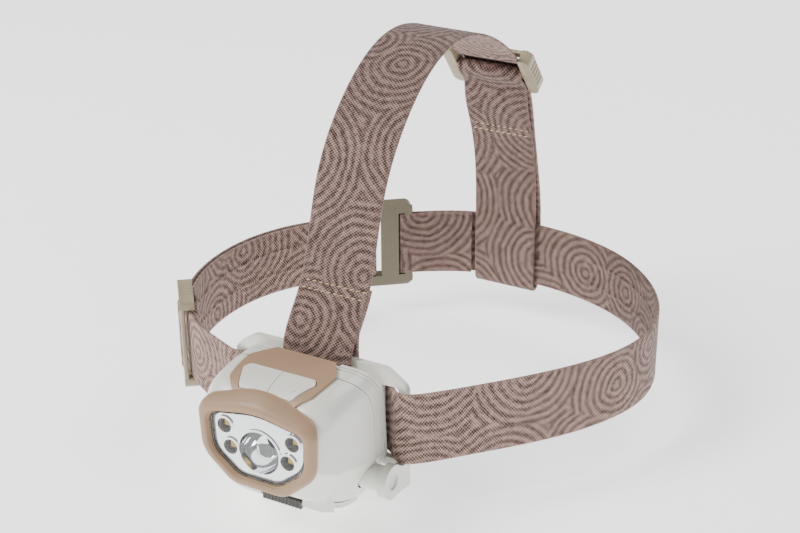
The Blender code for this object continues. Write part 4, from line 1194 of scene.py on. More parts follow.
class HEADLAMP_OT_shell(bpy.types.Operator):
    """Make the front housing and the battery tray behind its seam"""

    bl_idname = "headlamp.shell"
    bl_label = "Lamp shell"

    def execute(self, context):
        soft = context.scene.headlamp_sizes.edge_soft
        front = cut_through(body_loft(FACE_Y, -86.0, 0.0), [front_region(-0.1)], "INTERSECT")
        front = cut_through(front, [
            body_loft(FACE_Y + WALL, -84.0, -WALL),
            prism(lens_outline(-1.2), -130.0, -122.0, "Y"),
            prism(window_plan(), *WINDOW_CUT, "Z"),
            *bosses(BOSS_RADIUS + 0.5, 18.0, 40.0),
        ])
        for side in (-1, 1):
            front = cut_through(front, [self.latch_ear(side)], "UNION")
        front = bored(front, LATCH_BORE, LATCH_PIN)
        turns = range(SWING_STEP, LID_SWING + 1, SWING_STEP)
        front = cut_through(front, [turned_about(self.top_edge(), LID_PIN, turn) for turn in turns])
        piece("shell_front", front, "pearl_shell", "head", ["front_housing"], soft)

        rear = cut_through(body_loft(-110.0, -80.0, 0.0), [rear_region(0.0)], "INTERSECT")
        rear = cut_through(rear, bosses(BOSS_RADIUS, 25.4, LUG_INNER - CLEAR), "UNION")
        inside = cut_through(body_loft(-120.0, -79.0, -WALL), [rear_region(WALL)], "INTERSECT")
        near, wide, high = LID_EAR[0], LID_NOTCH_HALF, LID_NOTCH_HIGH
        notch = [(-wide, high), (-near, high), (-near, LID_NOTCH_LOW), (near, LID_NOTCH_LOW), (near, high)]
        notch = prism([*notch, (wide, high), (wide, 30.0), (-wide, 30.0)], -104.0, -79.0, "Y")
        rim = [side_line(back_y, -16.0, 30.0, 40, shift) for shift in (-2.1, -4.0)]
        grooves = [groove_sheet(line, 0.55, 0.45) for line in rim]
        rear = cut_through(rear, [inside, notch, *grooves, *bosses(PIN_RADIUS + 0.05, 27.0, 36.0)])
        for side in (-1, 1):
            foot = [(LID_PIN[1] - LID_EYE, 19.6), (-89.7, 19.6), (-89.9, 21.7), (LID_PIN[1] + LID_EYE, 21.7)]
            eye = arc(LID_PIN[1:], LID_EYE, 0.0, 180.0, 17)
            rear = cut_through(rear, [prism([*foot, *eye], *span(side, *LID_EAR), "X")], "UNION")
        rear = bored(rear, LID_BORE, LID_PIN)
        # Each side of the heel is rounded about the hinge, to pass the bracket's legs as the lamp tilts
        curve = arc(PIVOT[1:], HEEL_CLEAR, -150.0, 20.0, 35)
        heel = [*curve, (-70.0, curve[-1][1]), (-70.0, -45.0), (curve[0][0], -45.0)]
        for side in (-1, 1):
            rear = cut_through(rear, [prism(heel, *span(side, HEEL_NOTCH_HALF - 0.4, 32.0), "X")])
        piece("shell_rear", rear, "pearl_shell", "tray", ["battery_tray"], soft * 0.8)
        return {"FINISHED"}

    def latch_ear(self, side):
        """One of the housing's two ears, rounded about the catch's pin."""
        low, high = span(side, *LATCH_EAR)
        front_y, rear_y = LATCH_PIN[1] - LATCH_EYE, LATCH_PIN[1] + LATCH_EYE
        plan = [(low, front_y), (high, front_y), (high, rear_y - 0.1), (low, rear_y - 0.1)]
        ear = skin_slab(plan, -0.6, LATCH_EAR_DEEP, *BELOW)
        eye = arc(LATCH_PIN[1:], LATCH_EYE, -180.0, 0.0, 25)
        side_view = prism([*eye, (rear_y, -14.0), (front_y, -14.0)], -25.0, 25.0, "X")
        return cut_through(ear, [side_view], "INTERSECT")

    def top_edge(self):
        """The top of the tray's wall, a little thicker all round, which the lid's swing has to clear."""
        roof = cut_through(body_loft(-110.0, -80.0, 0.22), [rear_region(0.0)], "INTERSECT")
        roof = cut_through(roof, [body_loft(-120.0, -79.0, -WALL - 0.15)])
        return cut_through(roof, [block((-40.0, -120.0, 15.0), (40.0, -80.0, 30.0))], "INTERSECT")


class HEADLAMP_OT_bezel(bpy.types.Operator):
    """Make the tan bezel with its two arms and the top panel, in one piece"""

    bl_idname = "headlamp.bezel"
    bl_label = "Bezel and top panel"

    def execute(self, context):
        soft = context.scene.headlamp_sizes.edge_soft
        plan = both_halves(PANEL_HALF_PLAN, PANEL_HALF_ROUNDS)
        patch = skin_slab(plan, 0.06, PANEL_RISE, *ABOVE, -128.0)
        frame_ring = cut_through(bezel_ring(), [patch], "UNION")
        frame_ring = cut_through(frame_ring, [
            body_loft(FACE_Y - 0.06, -81.0, 0.06),
            prism(window_plan(), *WINDOW_CUT, "Z"),
        ])
        frame_ring = cut_through(frame_ring, [
            block((-9.0, LID_PIN[1] - 0.9, LID_PIN[2]), (9.0, LID_PIN[1] + 0.9, 24.8)),
            rod(1.5, -9.0, 9.0, LID_PIN, "X"),
        ], "UNION")
        frame_ring = bored(frame_ring, LID_BORE, LID_PIN)
        piece("bezel", frame_ring, "tan_bezel", "head", ["bezel_frame"], soft * 0.8)
        return {"FINISHED"}


class HEADLAMP_OT_buttons(bpy.types.Operator):
    """Make the two push buttons in the window of the top panel"""

    bl_idname = "headlamp.buttons"
    bl_label = "Buttons"

    def execute(self, context):
        near, far = BUTTON_SPLIT
        for name, side in (("button_right", -1), ("button_left", 1)):
            slab = skin_slab(window_plan(0.35), -2.6, PANEL_RISE + BUTTON_RISE, *ABOVE)
            edge = side * 0.16
            outside = side * 40.0
            half = [(near + edge, -130.0), (outside, -130.0), (outside, -100.0), (far + edge, -100.0)]
            slab = cut_through(slab, [prism(half[::side], 5.0, 45.0, "Z")], "INTERSECT")
            if side > 0:
                mark = rounded([(6.2, -119.2), (10.4, -117.9), (10.1, -116.9), (5.9, -118.2)], [0.45] * 4, 5)
                raised = body_loft(-127.0, -82.0, PANEL_RISE + 0.75)
                raised = cut_through(raised, [prism(mark, *ABOVE, "Z")], "INTERSECT")
                slab = cut_through(slab, [raised], "UNION")
            piece(name + "_cap", slab, "pearl_shell", name, [name], 0.25 * MM)
        return {"FINISHED"}


class HEADLAMP_OT_light(bpy.types.Operator):
    """Make the lens, the reflector, the LEDs and their dark cups"""

    bl_idname = "headlamp.light"
    bl_label = "Light engine"

    def execute(self, context):
        self.make_lens()
        self.make_mirror()
        self.make_cups()
        self.make_chips()
        return {"FINISHED"}

    def make_lens(self):
        rings = []
        for grow, deep in ((-0.1, LENS_THICK), (-0.1, 0.5), (-0.25, 0.15), (-0.6, 0.0)):
            rings.append([(p[0], LENS_FRONT_Y + deep, p[1]) for p in lens_outline(grow)])
        piece("lens_cover", skin(rings), "clear_lens", "head", ["lens"])

    def make_mirror(self):
        bowl = [(MAIN_RADIUS * math.cos(a) ** 0.8 if a < 1.5 else 3.0, MAIN_DEPTH * math.sin(a))
                for a in np.linspace(0.0, 1.2, 16)]
        main = (0.0, PLATE_Y, MAIN_AXIS_Z)
        plate = prism(lens_outline(-1.5), PLATE_Y - 0.9, PLATE_Y + 0.3, "Y")
        outer = [(radius + 0.7, along) for radius, along in bowl]
        shell = [(SIDE_RADIUS + 0.5, 0.0), (2.5, SIDE_DEPTH)]
        cups = [turned(shell, (x, PLATE_Y, z), "Y", 32) for x, z in SIDE_LEDS]
        mirror = cut_through(plate, [turned(outer, main, "Y", 64), *cups], "UNION")
        rim = [rod(MAIN_RADIUS + 0.9, -1.3, -0.6, main, "Y", 64)]
        rim += [rod(SIDE_RADIUS + 0.85, -1.5, -0.6, (x, PLATE_Y, z), "Y", 40) for x, z in SIDE_LEDS]
        mirror = cut_through(mirror, rim, "UNION")
        hollow = [turned([(MAIN_RADIUS, -3.0), *bowl, (bowl[-1][0], MAIN_DEPTH + 2.0)], main, "Y", 64)]
        for x, z in SIDE_LEDS:
            cup = [(SIDE_RADIUS, -3.0), (SIDE_RADIUS, -0.8), (1.9, SIDE_DEPTH), (1.9, SIDE_DEPTH + 2.0)]
            hollow.append(turned(cup, (x, PLATE_Y, z), "Y", 40))
        mirror = cut_through(mirror, hollow)
        piece("mirror", mirror, "bright_reflector", "head", ["reflector"], 0.12 * MM, 30.0)

    def make_cups(self):
        rim = SIDE_RADIUS
        wall = [(rim - 0.75, -0.55), (rim - 0.05, -0.75), (rim - 0.4, 0.4), (1.75, 2.2), (1.35, 2.2)]
        turn = np.linspace(0, 2 * math.pi, 33)[:-1]
        sleeves = []
        for x, z in SIDE_LEDS:
            rings = []
            for radius, deep in wall:
                circle = [(x + radius * math.cos(a), z + radius * math.sin(a)) for a in turn]
                rings.append([(u, PLATE_Y + deep, v) for u, v in circle])
            sleeves.append(skin(rings, closed=True))
        piece("led_cups", added(sleeves), "dark_plastic", "head")

    def make_chips(self):
        y = PLATE_Y + SIDE_DEPTH
        for number, (x, z) in enumerate(SIDE_LEDS, 1):
            chip = block((x - 1.3, y - 2.6, z - 1.3), (x + 1.3, y + 0.6, z + 1.3))
            stands_for = [f"side_led_{number}"]
            piece(f"led_chip_{number}", chip, "led_phosphor", "head", stands_for, 0.25 * MM, 30.0)
        base = PLATE_Y + MAIN_DEPTH
        dome = [(1.7, base + 0.6)]
        dome += [(1.7 * math.cos(a), base - 0.1 - 1.6 * math.sin(a)) for a in np.linspace(0, 1.45, 10)]
        foot = block((-1.9, base + 0.3, MAIN_AXIS_Z - 1.9), (1.9, base + 1.1, MAIN_AXIS_Z + 1.9))
        chip = added([foot, turned(dome, (0.0, 0.0, MAIN_AXIS_Z), "Y", 32)])
        piece("main_chip", chip, "led_phosphor", "head", ["main_led"], 0.0, 30.0)


class HEADLAMP_OT_inside(bpy.types.Operator):
    """Finish the parts inside the lamp: cells, cradle, contacts, boards, switches, pins and heat sink"""

    bl_idname = "headlamp.inside"
    bl_label = "Inner parts"

    def execute(self, context):
        looks = {
            "cell_wrap": ["battery_1", "battery_2", "battery_3"],
            "dark_plastic": ["battery_cradle", "switch_left", "switch_right", "lens_seal"],
            "contact_plate": ["contact_left", "contact_right"],
            "circuit_board": ["led_board", "control_board"],
            "aluminium_sink": ["heat_sink"],
            "steel_pin": ["hinge_pin_left", "hinge_pin_right", "lid_pin", "latch_pin"],
        }
        for look, names in looks.items():
            for name in names:
                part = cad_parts[name]
                part.data.materials.clear()
                part.data.materials.append(finish_named(look))
        return {"FINISHED"}


class HEADLAMP_OT_bracket(bpy.types.Operator):
    """Make the bracket plate that the headband threads through, with its two hinge lugs"""

    bl_idname = "headlamp.bracket"
    bl_label = "Bracket"

    def execute(self, context):
        half, top = PLATE_HALF, PLATE_TOP
        low = PLATE_BOTTOM
        corners = [(-half, low), (half, low), (half, 16.4), (29.5, top), (-29.5, top), (-half, 16.4)]
        back = PLATE_FRONT_Y + PLATE_THICK
        plate = prism(rounded(corners, [3.0, 3.0, 4.0, 6.0, 6.0, 4.0], 10), PLATE_FRONT_Y, back, "Y")
        cutters = []
        for side in (-1, 1):
            low, high = span(side, half - BAR - SLOT_WIDE, half - BAR)
            slot = rounded(corners_of(low, -SLOT_HALF_HIGH, high, SLOT_HALF_HIGH), [1.6] * 4, 6)
            cutters.append(prism(slot, *THROUGH_PLATE, "Y"))
        cross = rounded(corners_of(-16.4, CROSS_BAR, 16.4, top - BAR), [1.2] * 4, 5)
        cutters.append(prism(cross, *THROUGH_PLATE, "Y"))
        notch = HEEL_NOTCH_HALF
        cutters.append(block((-notch, -90.0, -40.0), (notch, -75.0, HEEL_NOTCH_TOP)))
        plate = cut_through(plate, cutters)
        for side in (-1, 1):
            lug = [*arc(PIVOT[1:], LUG_RADIUS, 70.0, 290.0, 40), (back, -27.0), (back, -16.2), (-87.0, -15.6)]
            plate = cut_through(plate, [prism(lug, *span(side, LUG_INNER, LUG_OUTER), "X")], "UNION")
            plate = cut_through(plate, [
                rod(PIN_RADIUS + 0.08, *span(side, 33.0, 39.0), PIVOT, "X", 32),
                rod(PIN_RADIUS + 1.0, *span(side, LUG_OUTER - 0.8, 39.0), PIVOT, "X", 40),
            ])
        soft = context.scene.headlamp_sizes.edge_soft * 1.5
        piece("bracket", plate, "pearl_shell", "harness", ["bracket_plate"], soft)
        return {"FINISHED"}


class HEADLAMP_OT_latch(bpy.types.Operator):
    """Make the catch under the lamp and its dark thumb grip"""

    bl_idname = "headlamp.latch"
    bl_label = "Catch"

    def execute(self, context):
        plan = rounded(corners_of(-20.4, LATCH_FRONT_Y, 20.4, LATCH_REAR_Y), [0.8, 0.8, 3.0, 3.0], 6)
        plate = skin_slab(plan, 0.35, 2.4, *BELOW)
        _, y, z = LATCH_PIN
        plate = cut_through(plate, [
            block((-8.9, y, z - 1.4), (8.9, LATCH_FRONT_Y + 1.6, z + 0.4)),
            rod(1.4, -8.9, 8.9, LATCH_PIN, "X", 32),
        ], "UNION")
        plate = bored(plate, LATCH_BORE, LATCH_PIN)
        piece("catch", plate, "pearl_shell", "latch", ["latch_plate"], 0.3 * MM)

        cutters = [
            rod(1.42, -9.5, 9.5, LATCH_PIN, "X", 32),
            block((-9.5, y, z - 1.42), (9.5, LATCH_FRONT_Y + 1.6, z + 0.42)),
        ]
        for x in np.arange(-7.2, 8.0, GRIP_PITCH):
            cutters.append(block((x - 0.3, y - 3.0, z - 3.0), (x + 0.3, y - 1.75, z + 3.0)))
        grip = cut_through(block((-8.6, y - 2.0, z - 1.9), (8.6, y + 1.6, z + 1.5)), cutters)
        piece("catch_grip", grip, "dark_plastic", "latch", ["latch_grip"], 0.1 * MM)
        return {"FINISHED"}


def ring_path():
    """The middle line of the headband seen from above, once round from the front."""
    half, over_x, over_y = BAND_FRONT_HALF, *BAND_OVER_BAR
    slot = ((half + over_x) / 2, (BAND_FRONT_Y + over_y) / 2)
    right = [(half, BAND_FRONT_Y), slot, BAND_OVER_BAR, (42.6, -83.2), BAND_RIGHT_FRONT]
    left = [BAND_LEFT_FRONT, (-43.6, -84.2), (-over_x, over_y), (-slot[0], slot[1]), (-half, BAND_FRONT_Y)]
    rear = [(BAND_REAR_HALF, BAND_REAR_Y - 0.7), (0.0, BAND_REAR_Y), (-BAND_REAR_HALF, BAND_REAR_Y - 0.7)]
    side = [(BAND_RIGHT_X, 0.0), BAND_RIGHT_REAR, *rear, BAND_LEFT_REAR, (BAND_LEFT_X, 0.0)]
    middle = np.array([(0.0, BAND_FRONT_Y)])
    ring = spline(right + side + left, 1400, (1.0, 0.0), (1.0, 0.0))
    return even(np.concatenate([middle, ring, middle]), 1200)


def arch_line():
    """The side view of the top strap, from the bracket's top bar over the head to below the rear headband."""
    bar_z = PLATE_TOP - BAR / 2
    front_y = PLATE_FRONT_Y - 1.8
    rear_y = BAND_REAR_Y + LAYER + 0.3
    points = [(front_y, bar_z), *ARCH, (rear_y, 20.0), (rear_y, -WEB_HALF - 0.3)]
    return even(spline(points, 1000, (0.05, 1.0), (0.0, -1.0)), 800)


# The turn of webbing round a slider's middle bar: distance along the strap, and to its left
WRAP_ROUND_BAR = (
    (-5.5, 0.5), (-3.0, 0.0), (0.0, -0.15), (1.8, 0.25), (3.0, 2.1),
    (1.8, 3.8), (0.0, 4.2), (-3.0, 3.95), (-8.0, 2.7),
)


class HEADLAMP_OT_headband(bpy.types.Operator):
    """Make the headband: one long webbing through the bracket, its lining, and the tail behind the buckle"""

    bl_idname = "headlamp.headband"
    bl_label = "Headband"

    def execute(self, context):
        ring = ring_path()
        total = travelled(ring)[-1]
        twice = np.concatenate([ring[:-1], ring])
        slider = distance_to(ring, SLIDER_SPOT)
        buckle = distance_to(ring, BUCKLE_SPOT)
        tail = distance_to(ring, TAIL_SPOT)
        bar = buckle + (BUCKLE_BARS[2][0] + BUCKLE_BARS[2][1]) / 2

        # The lining, from its wrap round the slider's middle bar back to the buckle
        wrap = [(slider + along, aside) for along, aside in WRAP_ROUND_BAR]
        back = [(d, LAYER) for d in np.arange(slider - 14.0, bar + 14.0, -6.0)]
        spread = [(bar + 7.0, LAYER + 0.2), (bar + 2.5, LAYER + 0.55)]
        lining = wrap + back + spread
        turn = [(bar - 2.2, 2.3), (bar - 2.9, 0.9), (bar - 2.2, -0.6)]
        line = spline(beside(twice, *zip(*(lining + turn))), 900)
        outer = np.arange(bar + 2.5, total + buckle - 4.0, 1.0)
        rise = -0.7 * bump_at(outer, bar, 14.0) - 3.0 * bump_at(outer, slider, 8.5)
        line = resampled(np.concatenate([line, beside(twice, outer, rise)]), 1.4)
        run = travelled(line)
        fold = beside(twice, [bar - 2.9], [0.9])[0]
        lining_end = run[np.argmin(np.linalg.norm(line - fold, axis=1))]
        ribs = np.stack([
            np.clip((run - lining_end - 6.0) / 6.0, 0, 1),
            np.clip((lining_end - 8.0 - run) / 6.0, 0, 1) * np.clip((run - 28.0) / 6.0, 0, 1),
        ], axis=1)
        nodes = ["band_front", "band_right", "band_right_rear", "band_rear", "band_left_rear", "band_left",
                 "band_lining_rear", "band_lining"]
        made = woven("headband_web", line, "XY", nodes, ribs)

        # The tail, from its hem to its wrap behind the buckle
        ends = np.arange(tail, buckle - 5.5, 1.0)
        line = resampled(beside(twice, ends, np.full(len(ends), LAYER)), 1.4)
        made = woven("headband_tail", line, "XY", ["band_tail"])
        return {"FINISHED"}


class HEADLAMP_OT_top_strap(bpy.types.Operator):
    """Make the top strap, from its fold round the bracket's top bar to its loop round the headband"""

    bl_idname = "headlamp.top_strap"
    bl_label = "Top strap"

    def execute(self, context):
        arch = arch_line()
        total = travelled(arch)[-1]
        slider = distance_to(arch, TOP_SLIDER_SPOT)
        seam = distance_to(arch, (-72.0, FRONT_SEAM_Z + 3.0))

        # The fold round the bracket's top bar
        back = PLATE_FRONT_Y + PLATE_THICK + 1.5
        middle = (arch[0][0] + back) / 2
        under = PLATE_TOP - BAR - 1.8
        bend = (back - arch[0][0]) / 2
        down = np.arange(seam, 12.0, -1.5)
        inner = beside(arch, down, np.full(len(down), -LAYER + 0.2))
        half_turn = arc((middle, under + bend * 0.62), bend, 0.0, -180.0, 13)
        turn = [(y, under + (z - under + 0.38 * bend) * 0.62) for y, z in half_turn]
        outer = np.arange(0.8, total, 1.4)
        rise = 3.0 * bump_at(outer, slider, 8.5)
        front = [*inner, (back, PLATE_TOP + 2.0), (back, PLATE_TOP - 0.3), *turn]

        # The loop round the headband's lower edge and up to the slider
        inner_y = BAND_REAR_Y - LAYER - 0.9
        loop_bend = (arch[-1][0] - inner_y) / 2
        loop = arc((inner_y + loop_bend, arch[-1][1]), loop_bend, 0.0, -180.0, 13)[1:-1]
        wrap = [(slider - along, -aside) for along, aside in WRAP_ROUND_BAR][::-1]
        up = [(inner_y, arch[-1][1]), (inner_y, 10.0), (inner_y - 1.0, 36.0), (70.8, 60.0)]
        up += list(beside(arch, [slider + 17.0], [-4.7])) + list(beside(arch, *zip(*wrap)))
        rest = np.concatenate([beside(arch, outer, rise), loop, spline(up, 160, (0.0, 1.0))])
        line = resampled(np.concatenate([spline(front, 160), rest]), 1.4)
        nodes = ["top_strap_front", "top_strap_rear", "top_strap_loop"]
        made = woven("top_strap_web", line, "YZ", nodes)
        return {"FINISHED"}


def side_rails(inner_round, outer_round):
    """The two outer rails of a slider, with their outer corners rounder than their inner ones."""
    long = SLIDER_LONG / 2
    rails = []
    for side in (-1, 1):
        low, top = span(side, WEB_HALF + 0.5, SLIDER_HIGH / 2)
        rounds = [inner_round, inner_round, outer_round, outer_round][::side]
        rail = rounded(corners_of(-long, low, long, top), rounds, 8)
        rails.append(prism(rail, -SLIDER_DEEP, SLIDER_DEEP, "Y"))
    return rails


def three_bar_slider(ridges):
    """A slider in its own frame: X along the strap, Y away from the head, Z across the strap."""
    high, long, half, deep = SLIDER_HIGH / 2, SLIDER_LONG / 2, SLIDER_BAR_HALF, SLIDER_DEEP
    over = 1.2
    parts = []
    for side, rail in zip((-1, 1), side_rails(1.4, 3.2)):
        parts.append(rail)
        for k in range(ridges):
            spot = ((k - (ridges - 1) / 2) * RIDGE_PITCH, 0.0, side * (high - 0.35))
            parts.append(rod(RIDGE_RADIUS, -deep + 0.6, deep - 0.6, spot, "Y", 16))
    for middle in (1.9 - long, long - 1.9):
        bar = rounded(corners_of(middle - half, over, middle + half, deep), [0.5, 0.5, 0.85, 0.85], 4)
        parts.append(prism(bar, 2.0 - high, high - 2.0, "Z"))
    bar = rounded(corners_of(-half, -deep, half, -over), [0.85, 0.85, 0.6, 0.6], 4)
    parts.append(prism(bar, 2.0 - high, high - 2.0, "Z"))
    return cut_through(parts[0], parts[1:], "UNION")


def ladder_buckle():
    """The rear buckle in its own frame: a toothed rim, a broad middle bar and a bar that the lining wraps."""
    high, deep = SLIDER_HIGH / 2, SLIDER_DEEP
    parts = side_rails(1.0, 3.6)
    for (first, last), low, top in zip(BUCKLE_BARS, (-deep, -deep, -0.8), (-1.2, -1.2, 0.8)):
        bar = rounded(corners_of(first, low, last, top), [0.7] * 4, 4)
        parts.append(prism(bar, 1.5 - high, high - 1.5, "Z"))
    rim = BUCKLE_BARS[0][1]
    for k in range(TEETH):
        z = (k - (TEETH - 1) / 2) * TOOTH_PITCH
        parts.append(block((rim - 0.8, -deep + 0.3, z - TOOTH / 2), (rim + TOOTH, -1.4, z + TOOTH / 2)))
    return cut_through(parts[0], parts[1:], "UNION")


def set_on_strap(bm, path, spot, plane):
    """Turns and moves a slider so that it lies on the strap at the spot."""
    run = travelled(path)
    where = distance_to(path, spot)
    middle = [np.interp(where, run, path[:, k]) for k in range(2)]
    before, after = (
        np.array([np.interp(where + step, run, path[:, k]) for k in range(2)]) for step in (-12.0, 12.0)
    )
    way = (after - before) / np.linalg.norm(after - before)
    out = (way[1], -way[0])
    if plane == "XY":
        turn = Matrix(((way[0], out[0], 0.0), (way[1], out[1], 0.0), (0.0, 0.0, 1.0)))
        centre = (*middle, 0.0)
    else:
        turn = Matrix(((0.0, 0.0, 1.0), (way[0], -out[0], 0.0), (way[1], -out[1], 0.0)))
        centre = (0.0, *middle)
    bmesh.ops.transform(bm, matrix=turn.to_4x4(), verts=bm.verts)
    bmesh.ops.translate(bm, verts=bm.verts, vec=centre)
    if turn.determinant() < 0:
        bmesh.ops.reverse_faces(bm, faces=bm.faces)
    return bm


class HEADLAMP_OT_sliders(bpy.types.Operator):
    """Make the two ridged sliders, on the headband and on the top strap"""

    bl_idname = "headlamp.sliders"
    bl_label = "Sliders"

    def execute(self, context):
        ridges = context.scene.headlamp_sizes.grip_ridges
        left = set_on_strap(three_bar_slider(ridges), ring_path(), SLIDER_SPOT, "XY")
        top = set_on_strap(three_bar_slider(ridges), arch_line(), TOP_SLIDER_SPOT, "YZ")
        for name, bm in (("slider_left", left), ("slider_top", top)):
            piece(name + "_bar", bm, "khaki_slider", name, [name], 0.5 * MM, 35.0)
        return {"FINISHED"}


class HEADLAMP_OT_buckle(bpy.types.Operator):
    """Make the toothed buckle at the left rear of the headband"""

    bl_idname = "headlamp.buckle"
    bl_label = "Rear buckle"

    def execute(self, context):
        bm = set_on_strap(ladder_buckle(), ring_path(), BUCKLE_SPOT, "XY")
        piece("buckle", bm, "olive_buckle", "harness", ["rear_buckle"], 0.35 * MM, 35.0)
        return {"FINISHED"}


def stitch_row(path, along, aside, tilt, sizes, phase):
    """One row of stitches across the top strap, at a distance along its path and on one face of it."""
    long, step, fat = sizes.stitch_long / MM, sizes.stitch_long / MM + 0.65, 0.28
    stitches = []
    here, ahead = beside(path, [along, along + 1.0], [aside, aside])
    way = ahead - here
    for x in np.arange(-WEB_HALF + 1.6 + phase, WEB_HALF - 1.2, step):
        rings = []
        for t in np.linspace(0.0, 1.0, 7):
            radius = fat * max(math.sin(math.pi * min(max(t, 0.03), 0.97)) ** 0.4, 0.2)
            sink = -0.25 * (2 * t - 1) ** 2 * math.copysign(1.0, aside)
            spot = here + way * tilt * (t - 0.5)
            normal = np.array([-way[1], way[0]])
            centre = spot + normal * sink
            ring = []
            for k in range(8):
                a = 2 * math.pi * k / 8
                offset = way * math.cos(a) * radius + normal * math.sin(a) * radius
                ring.append((x + t * (long - 0.2), centre[0] + offset[0], centre[1] + offset[1]))
            rings.append(ring)
        stitches.append(skin(rings))
    return stitches


class HEADLAMP_OT_stitching(bpy.types.Operator):
    """Sew the fold at the front of the top strap and the loop at its rear"""

    bl_idname = "headlamp.stitching"
    bl_label = "Stitching"

    def execute(self, context):
        sizes = context.scene.headlamp_sizes
        arch = arch_line()
        half = sizes.web_thick / MM / 2
        rows = []
        for rise, phase in ((-1.6, 0.0), (1.6, 1.1)):
            where = distance_to(arch, (-72.0, FRONT_SEAM_Z)) + rise
            rows += stitch_row(arch, where, half + 0.08, 0.3, sizes, phase)
            rows += stitch_row(arch, where, -LAYER - half + 0.12, -0.3, sizes, phase)
        inner_y = BAND_REAR_Y - LAYER - 0.9
        below_slider = beside(arch, [distance_to(arch, TOP_SLIDER_SPOT) + 17.0], [-4.7])
        up = [(inner_y, -15.3), (inner_y, 10.0), (inner_y - 1.0, 36.0), (70.8, 60.0), *below_slider]
        up = spline(up, 200, (0.0, 1.0))
        for rise, phase in ((-1.6, 0.0), (1.6, 1.1)):
            where = distance_to(up, (70.0, REAR_SEAM_Z)) + rise
            rows += stitch_row(up, where, half + 0.08, 0.5, sizes, phase)
        piece("strap_stitches", added(rows), "sewing_thread", "harness", (), 0.0, 60.0)
        return {"FINISHED"}


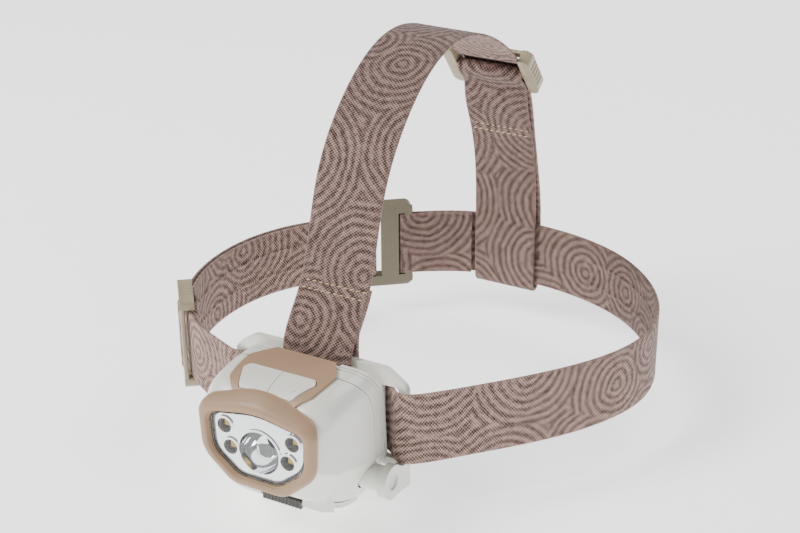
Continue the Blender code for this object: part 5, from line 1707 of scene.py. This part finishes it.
class HEADLAMP_OT_stage(bpy.types.Operator):
    """Set the pale floor, the soft lights and the camera"""

    bl_idname = "headlamp.stage"
    bl_label = "Stage"

    def execute(self, context):
        self.make_floor()
        self.make_sky()
        self.make_lights()
        self.make_camera(context)
        return {"FINISHED"}

    def make_floor(self):
        low = CAD_BOX[0][2] - 0.002
        bm = bmesh.new()
        bmesh.ops.create_grid(bm, x_segments=24, y_segments=24, size=6.0)
        bmesh.ops.translate(bm, verts=bm.verts, vec=(0.0, 0.0, low))
        mesh = bpy.data.meshes.new("floor")
        bm.to_mesh(mesh)
        bm.free()
        floor = bpy.data.objects.new("floor", mesh)
        bpy.context.scene.collection.objects.link(floor)
        pale = speckled_material("pale_floor", (0.93, 0.93, 0.93), (0.95, 0.95, 0.95), 40.0, 0.9, 0.001)
        glow = pale.node_tree.nodes["Principled BSDF"]
        glow.inputs["Emission Color"].default_value = (1.0, 1.0, 1.0, 1.0)
        glow.inputs["Emission Strength"].default_value = 1.2
        mesh.materials.append(pale)

    def make_sky(self):
        world = bpy.data.worlds.new("studio")
        world.use_nodes = True
        shade = world.node_tree.nodes["Background"]
        shade.label = "white studio"
        shade.inputs["Color"].default_value = (1.0, 1.0, 1.0, 1.0)
        shade.inputs["Strength"].default_value = 0.36
        bpy.context.scene.world = world

    def make_lights(self):
        lights = (
            ("key", (-0.75, -0.75, 1.05), 0.6, 26.0, (1.0, 0.985, 0.96)),
            ("fill", (1.1, -0.5, 0.5), 0.8, 4.0, (0.97, 0.98, 1.0)),
            ("rim", (0.3, 1.0, 1.0), 0.7, 7.0, (1.0, 1.0, 1.0)),
        )
        for name, place, size, power, colour in lights:
            data = bpy.data.lights.new(name, "AREA")
            data.size = size
            data.energy = power
            data.color = colour
            lamp = bpy.data.objects.new(name, data)
            lamp.location = place
            lamp.rotation_mode = "QUATERNION"
            lamp.rotation_quaternion = Vector(place).to_track_quat("Z", "Y")
            bpy.context.scene.collection.objects.link(lamp)

    def make_camera(self, context):
        azimuth, elevation = math.radians(CAMERA_AZIMUTH), math.radians(CAMERA_ELEVATION)
        level = math.cos(elevation)
        back = Vector((math.sin(azimuth) * level, -math.cos(azimuth) * level, math.sin(elevation)))
        data = bpy.data.cameras.new("camera")
        data.lens = CAMERA_LENS
        data.sensor_width = 36.0
        data.shift_x, data.shift_y = CAMERA_SHIFT
        data.clip_start = 0.05
        camera = bpy.data.objects.new("camera", data)
        camera.location = back * CAMERA_DISTANCE
        camera.rotation_mode = "QUATERNION"
        camera.rotation_quaternion = back.to_track_quat("Z", "Y")
        context.scene.collection.objects.link(camera)
        context.scene.camera = camera


OPERATORS = (
    HEADLAMP_OT_shell,
    HEADLAMP_OT_bezel,
    HEADLAMP_OT_buttons,
    HEADLAMP_OT_light,
    HEADLAMP_OT_inside,
    HEADLAMP_OT_bracket,
    HEADLAMP_OT_latch,
    HEADLAMP_OT_headband,
    HEADLAMP_OT_top_strap,
    HEADLAMP_OT_sliders,
    HEADLAMP_OT_buckle,
    HEADLAMP_OT_stitching,
    HEADLAMP_OT_stage,
)


class HEADLAMP_PT_panel(bpy.types.Panel):
    """Sizes, colours and build steps of the headlamp"""

    bl_idname = "HEADLAMP_PT_panel"
    bl_label = "Camping headlamp"
    bl_space_type = "VIEW_3D"
    bl_region_type = "UI"
    bl_category = "Headlamp"

    def draw(self, context):
        layout = self.layout
        for group in (context.scene.headlamp_sizes, context.scene.headlamp_colours):
            box = layout.box()
            for name in type(group).__annotations__:
                box.prop(group, name)
        for operator in OPERATORS:
            layout.operator(operator.bl_idname)


CLASSES = (HeadlampSizes, HeadlampColours, *OPERATORS, HEADLAMP_PT_panel)


def register():
    for cls in CLASSES:
        bpy.utils.register_class(cls)
    bpy.types.Scene.headlamp_sizes = PointerProperty(type=HeadlampSizes)
    bpy.types.Scene.headlamp_colours = PointerProperty(type=HeadlampColours)


def unregister():
    del bpy.types.Scene.headlamp_sizes
    del bpy.types.Scene.headlamp_colours
    for cls in reversed(CLASSES):
        bpy.utils.unregister_class(cls)


def main():
    register()
    for operator in OPERATORS:
        getattr(bpy.ops.headlamp, operator.bl_idname.split(".")[1])()
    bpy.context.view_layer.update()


if __name__ == "__main__":
    main()
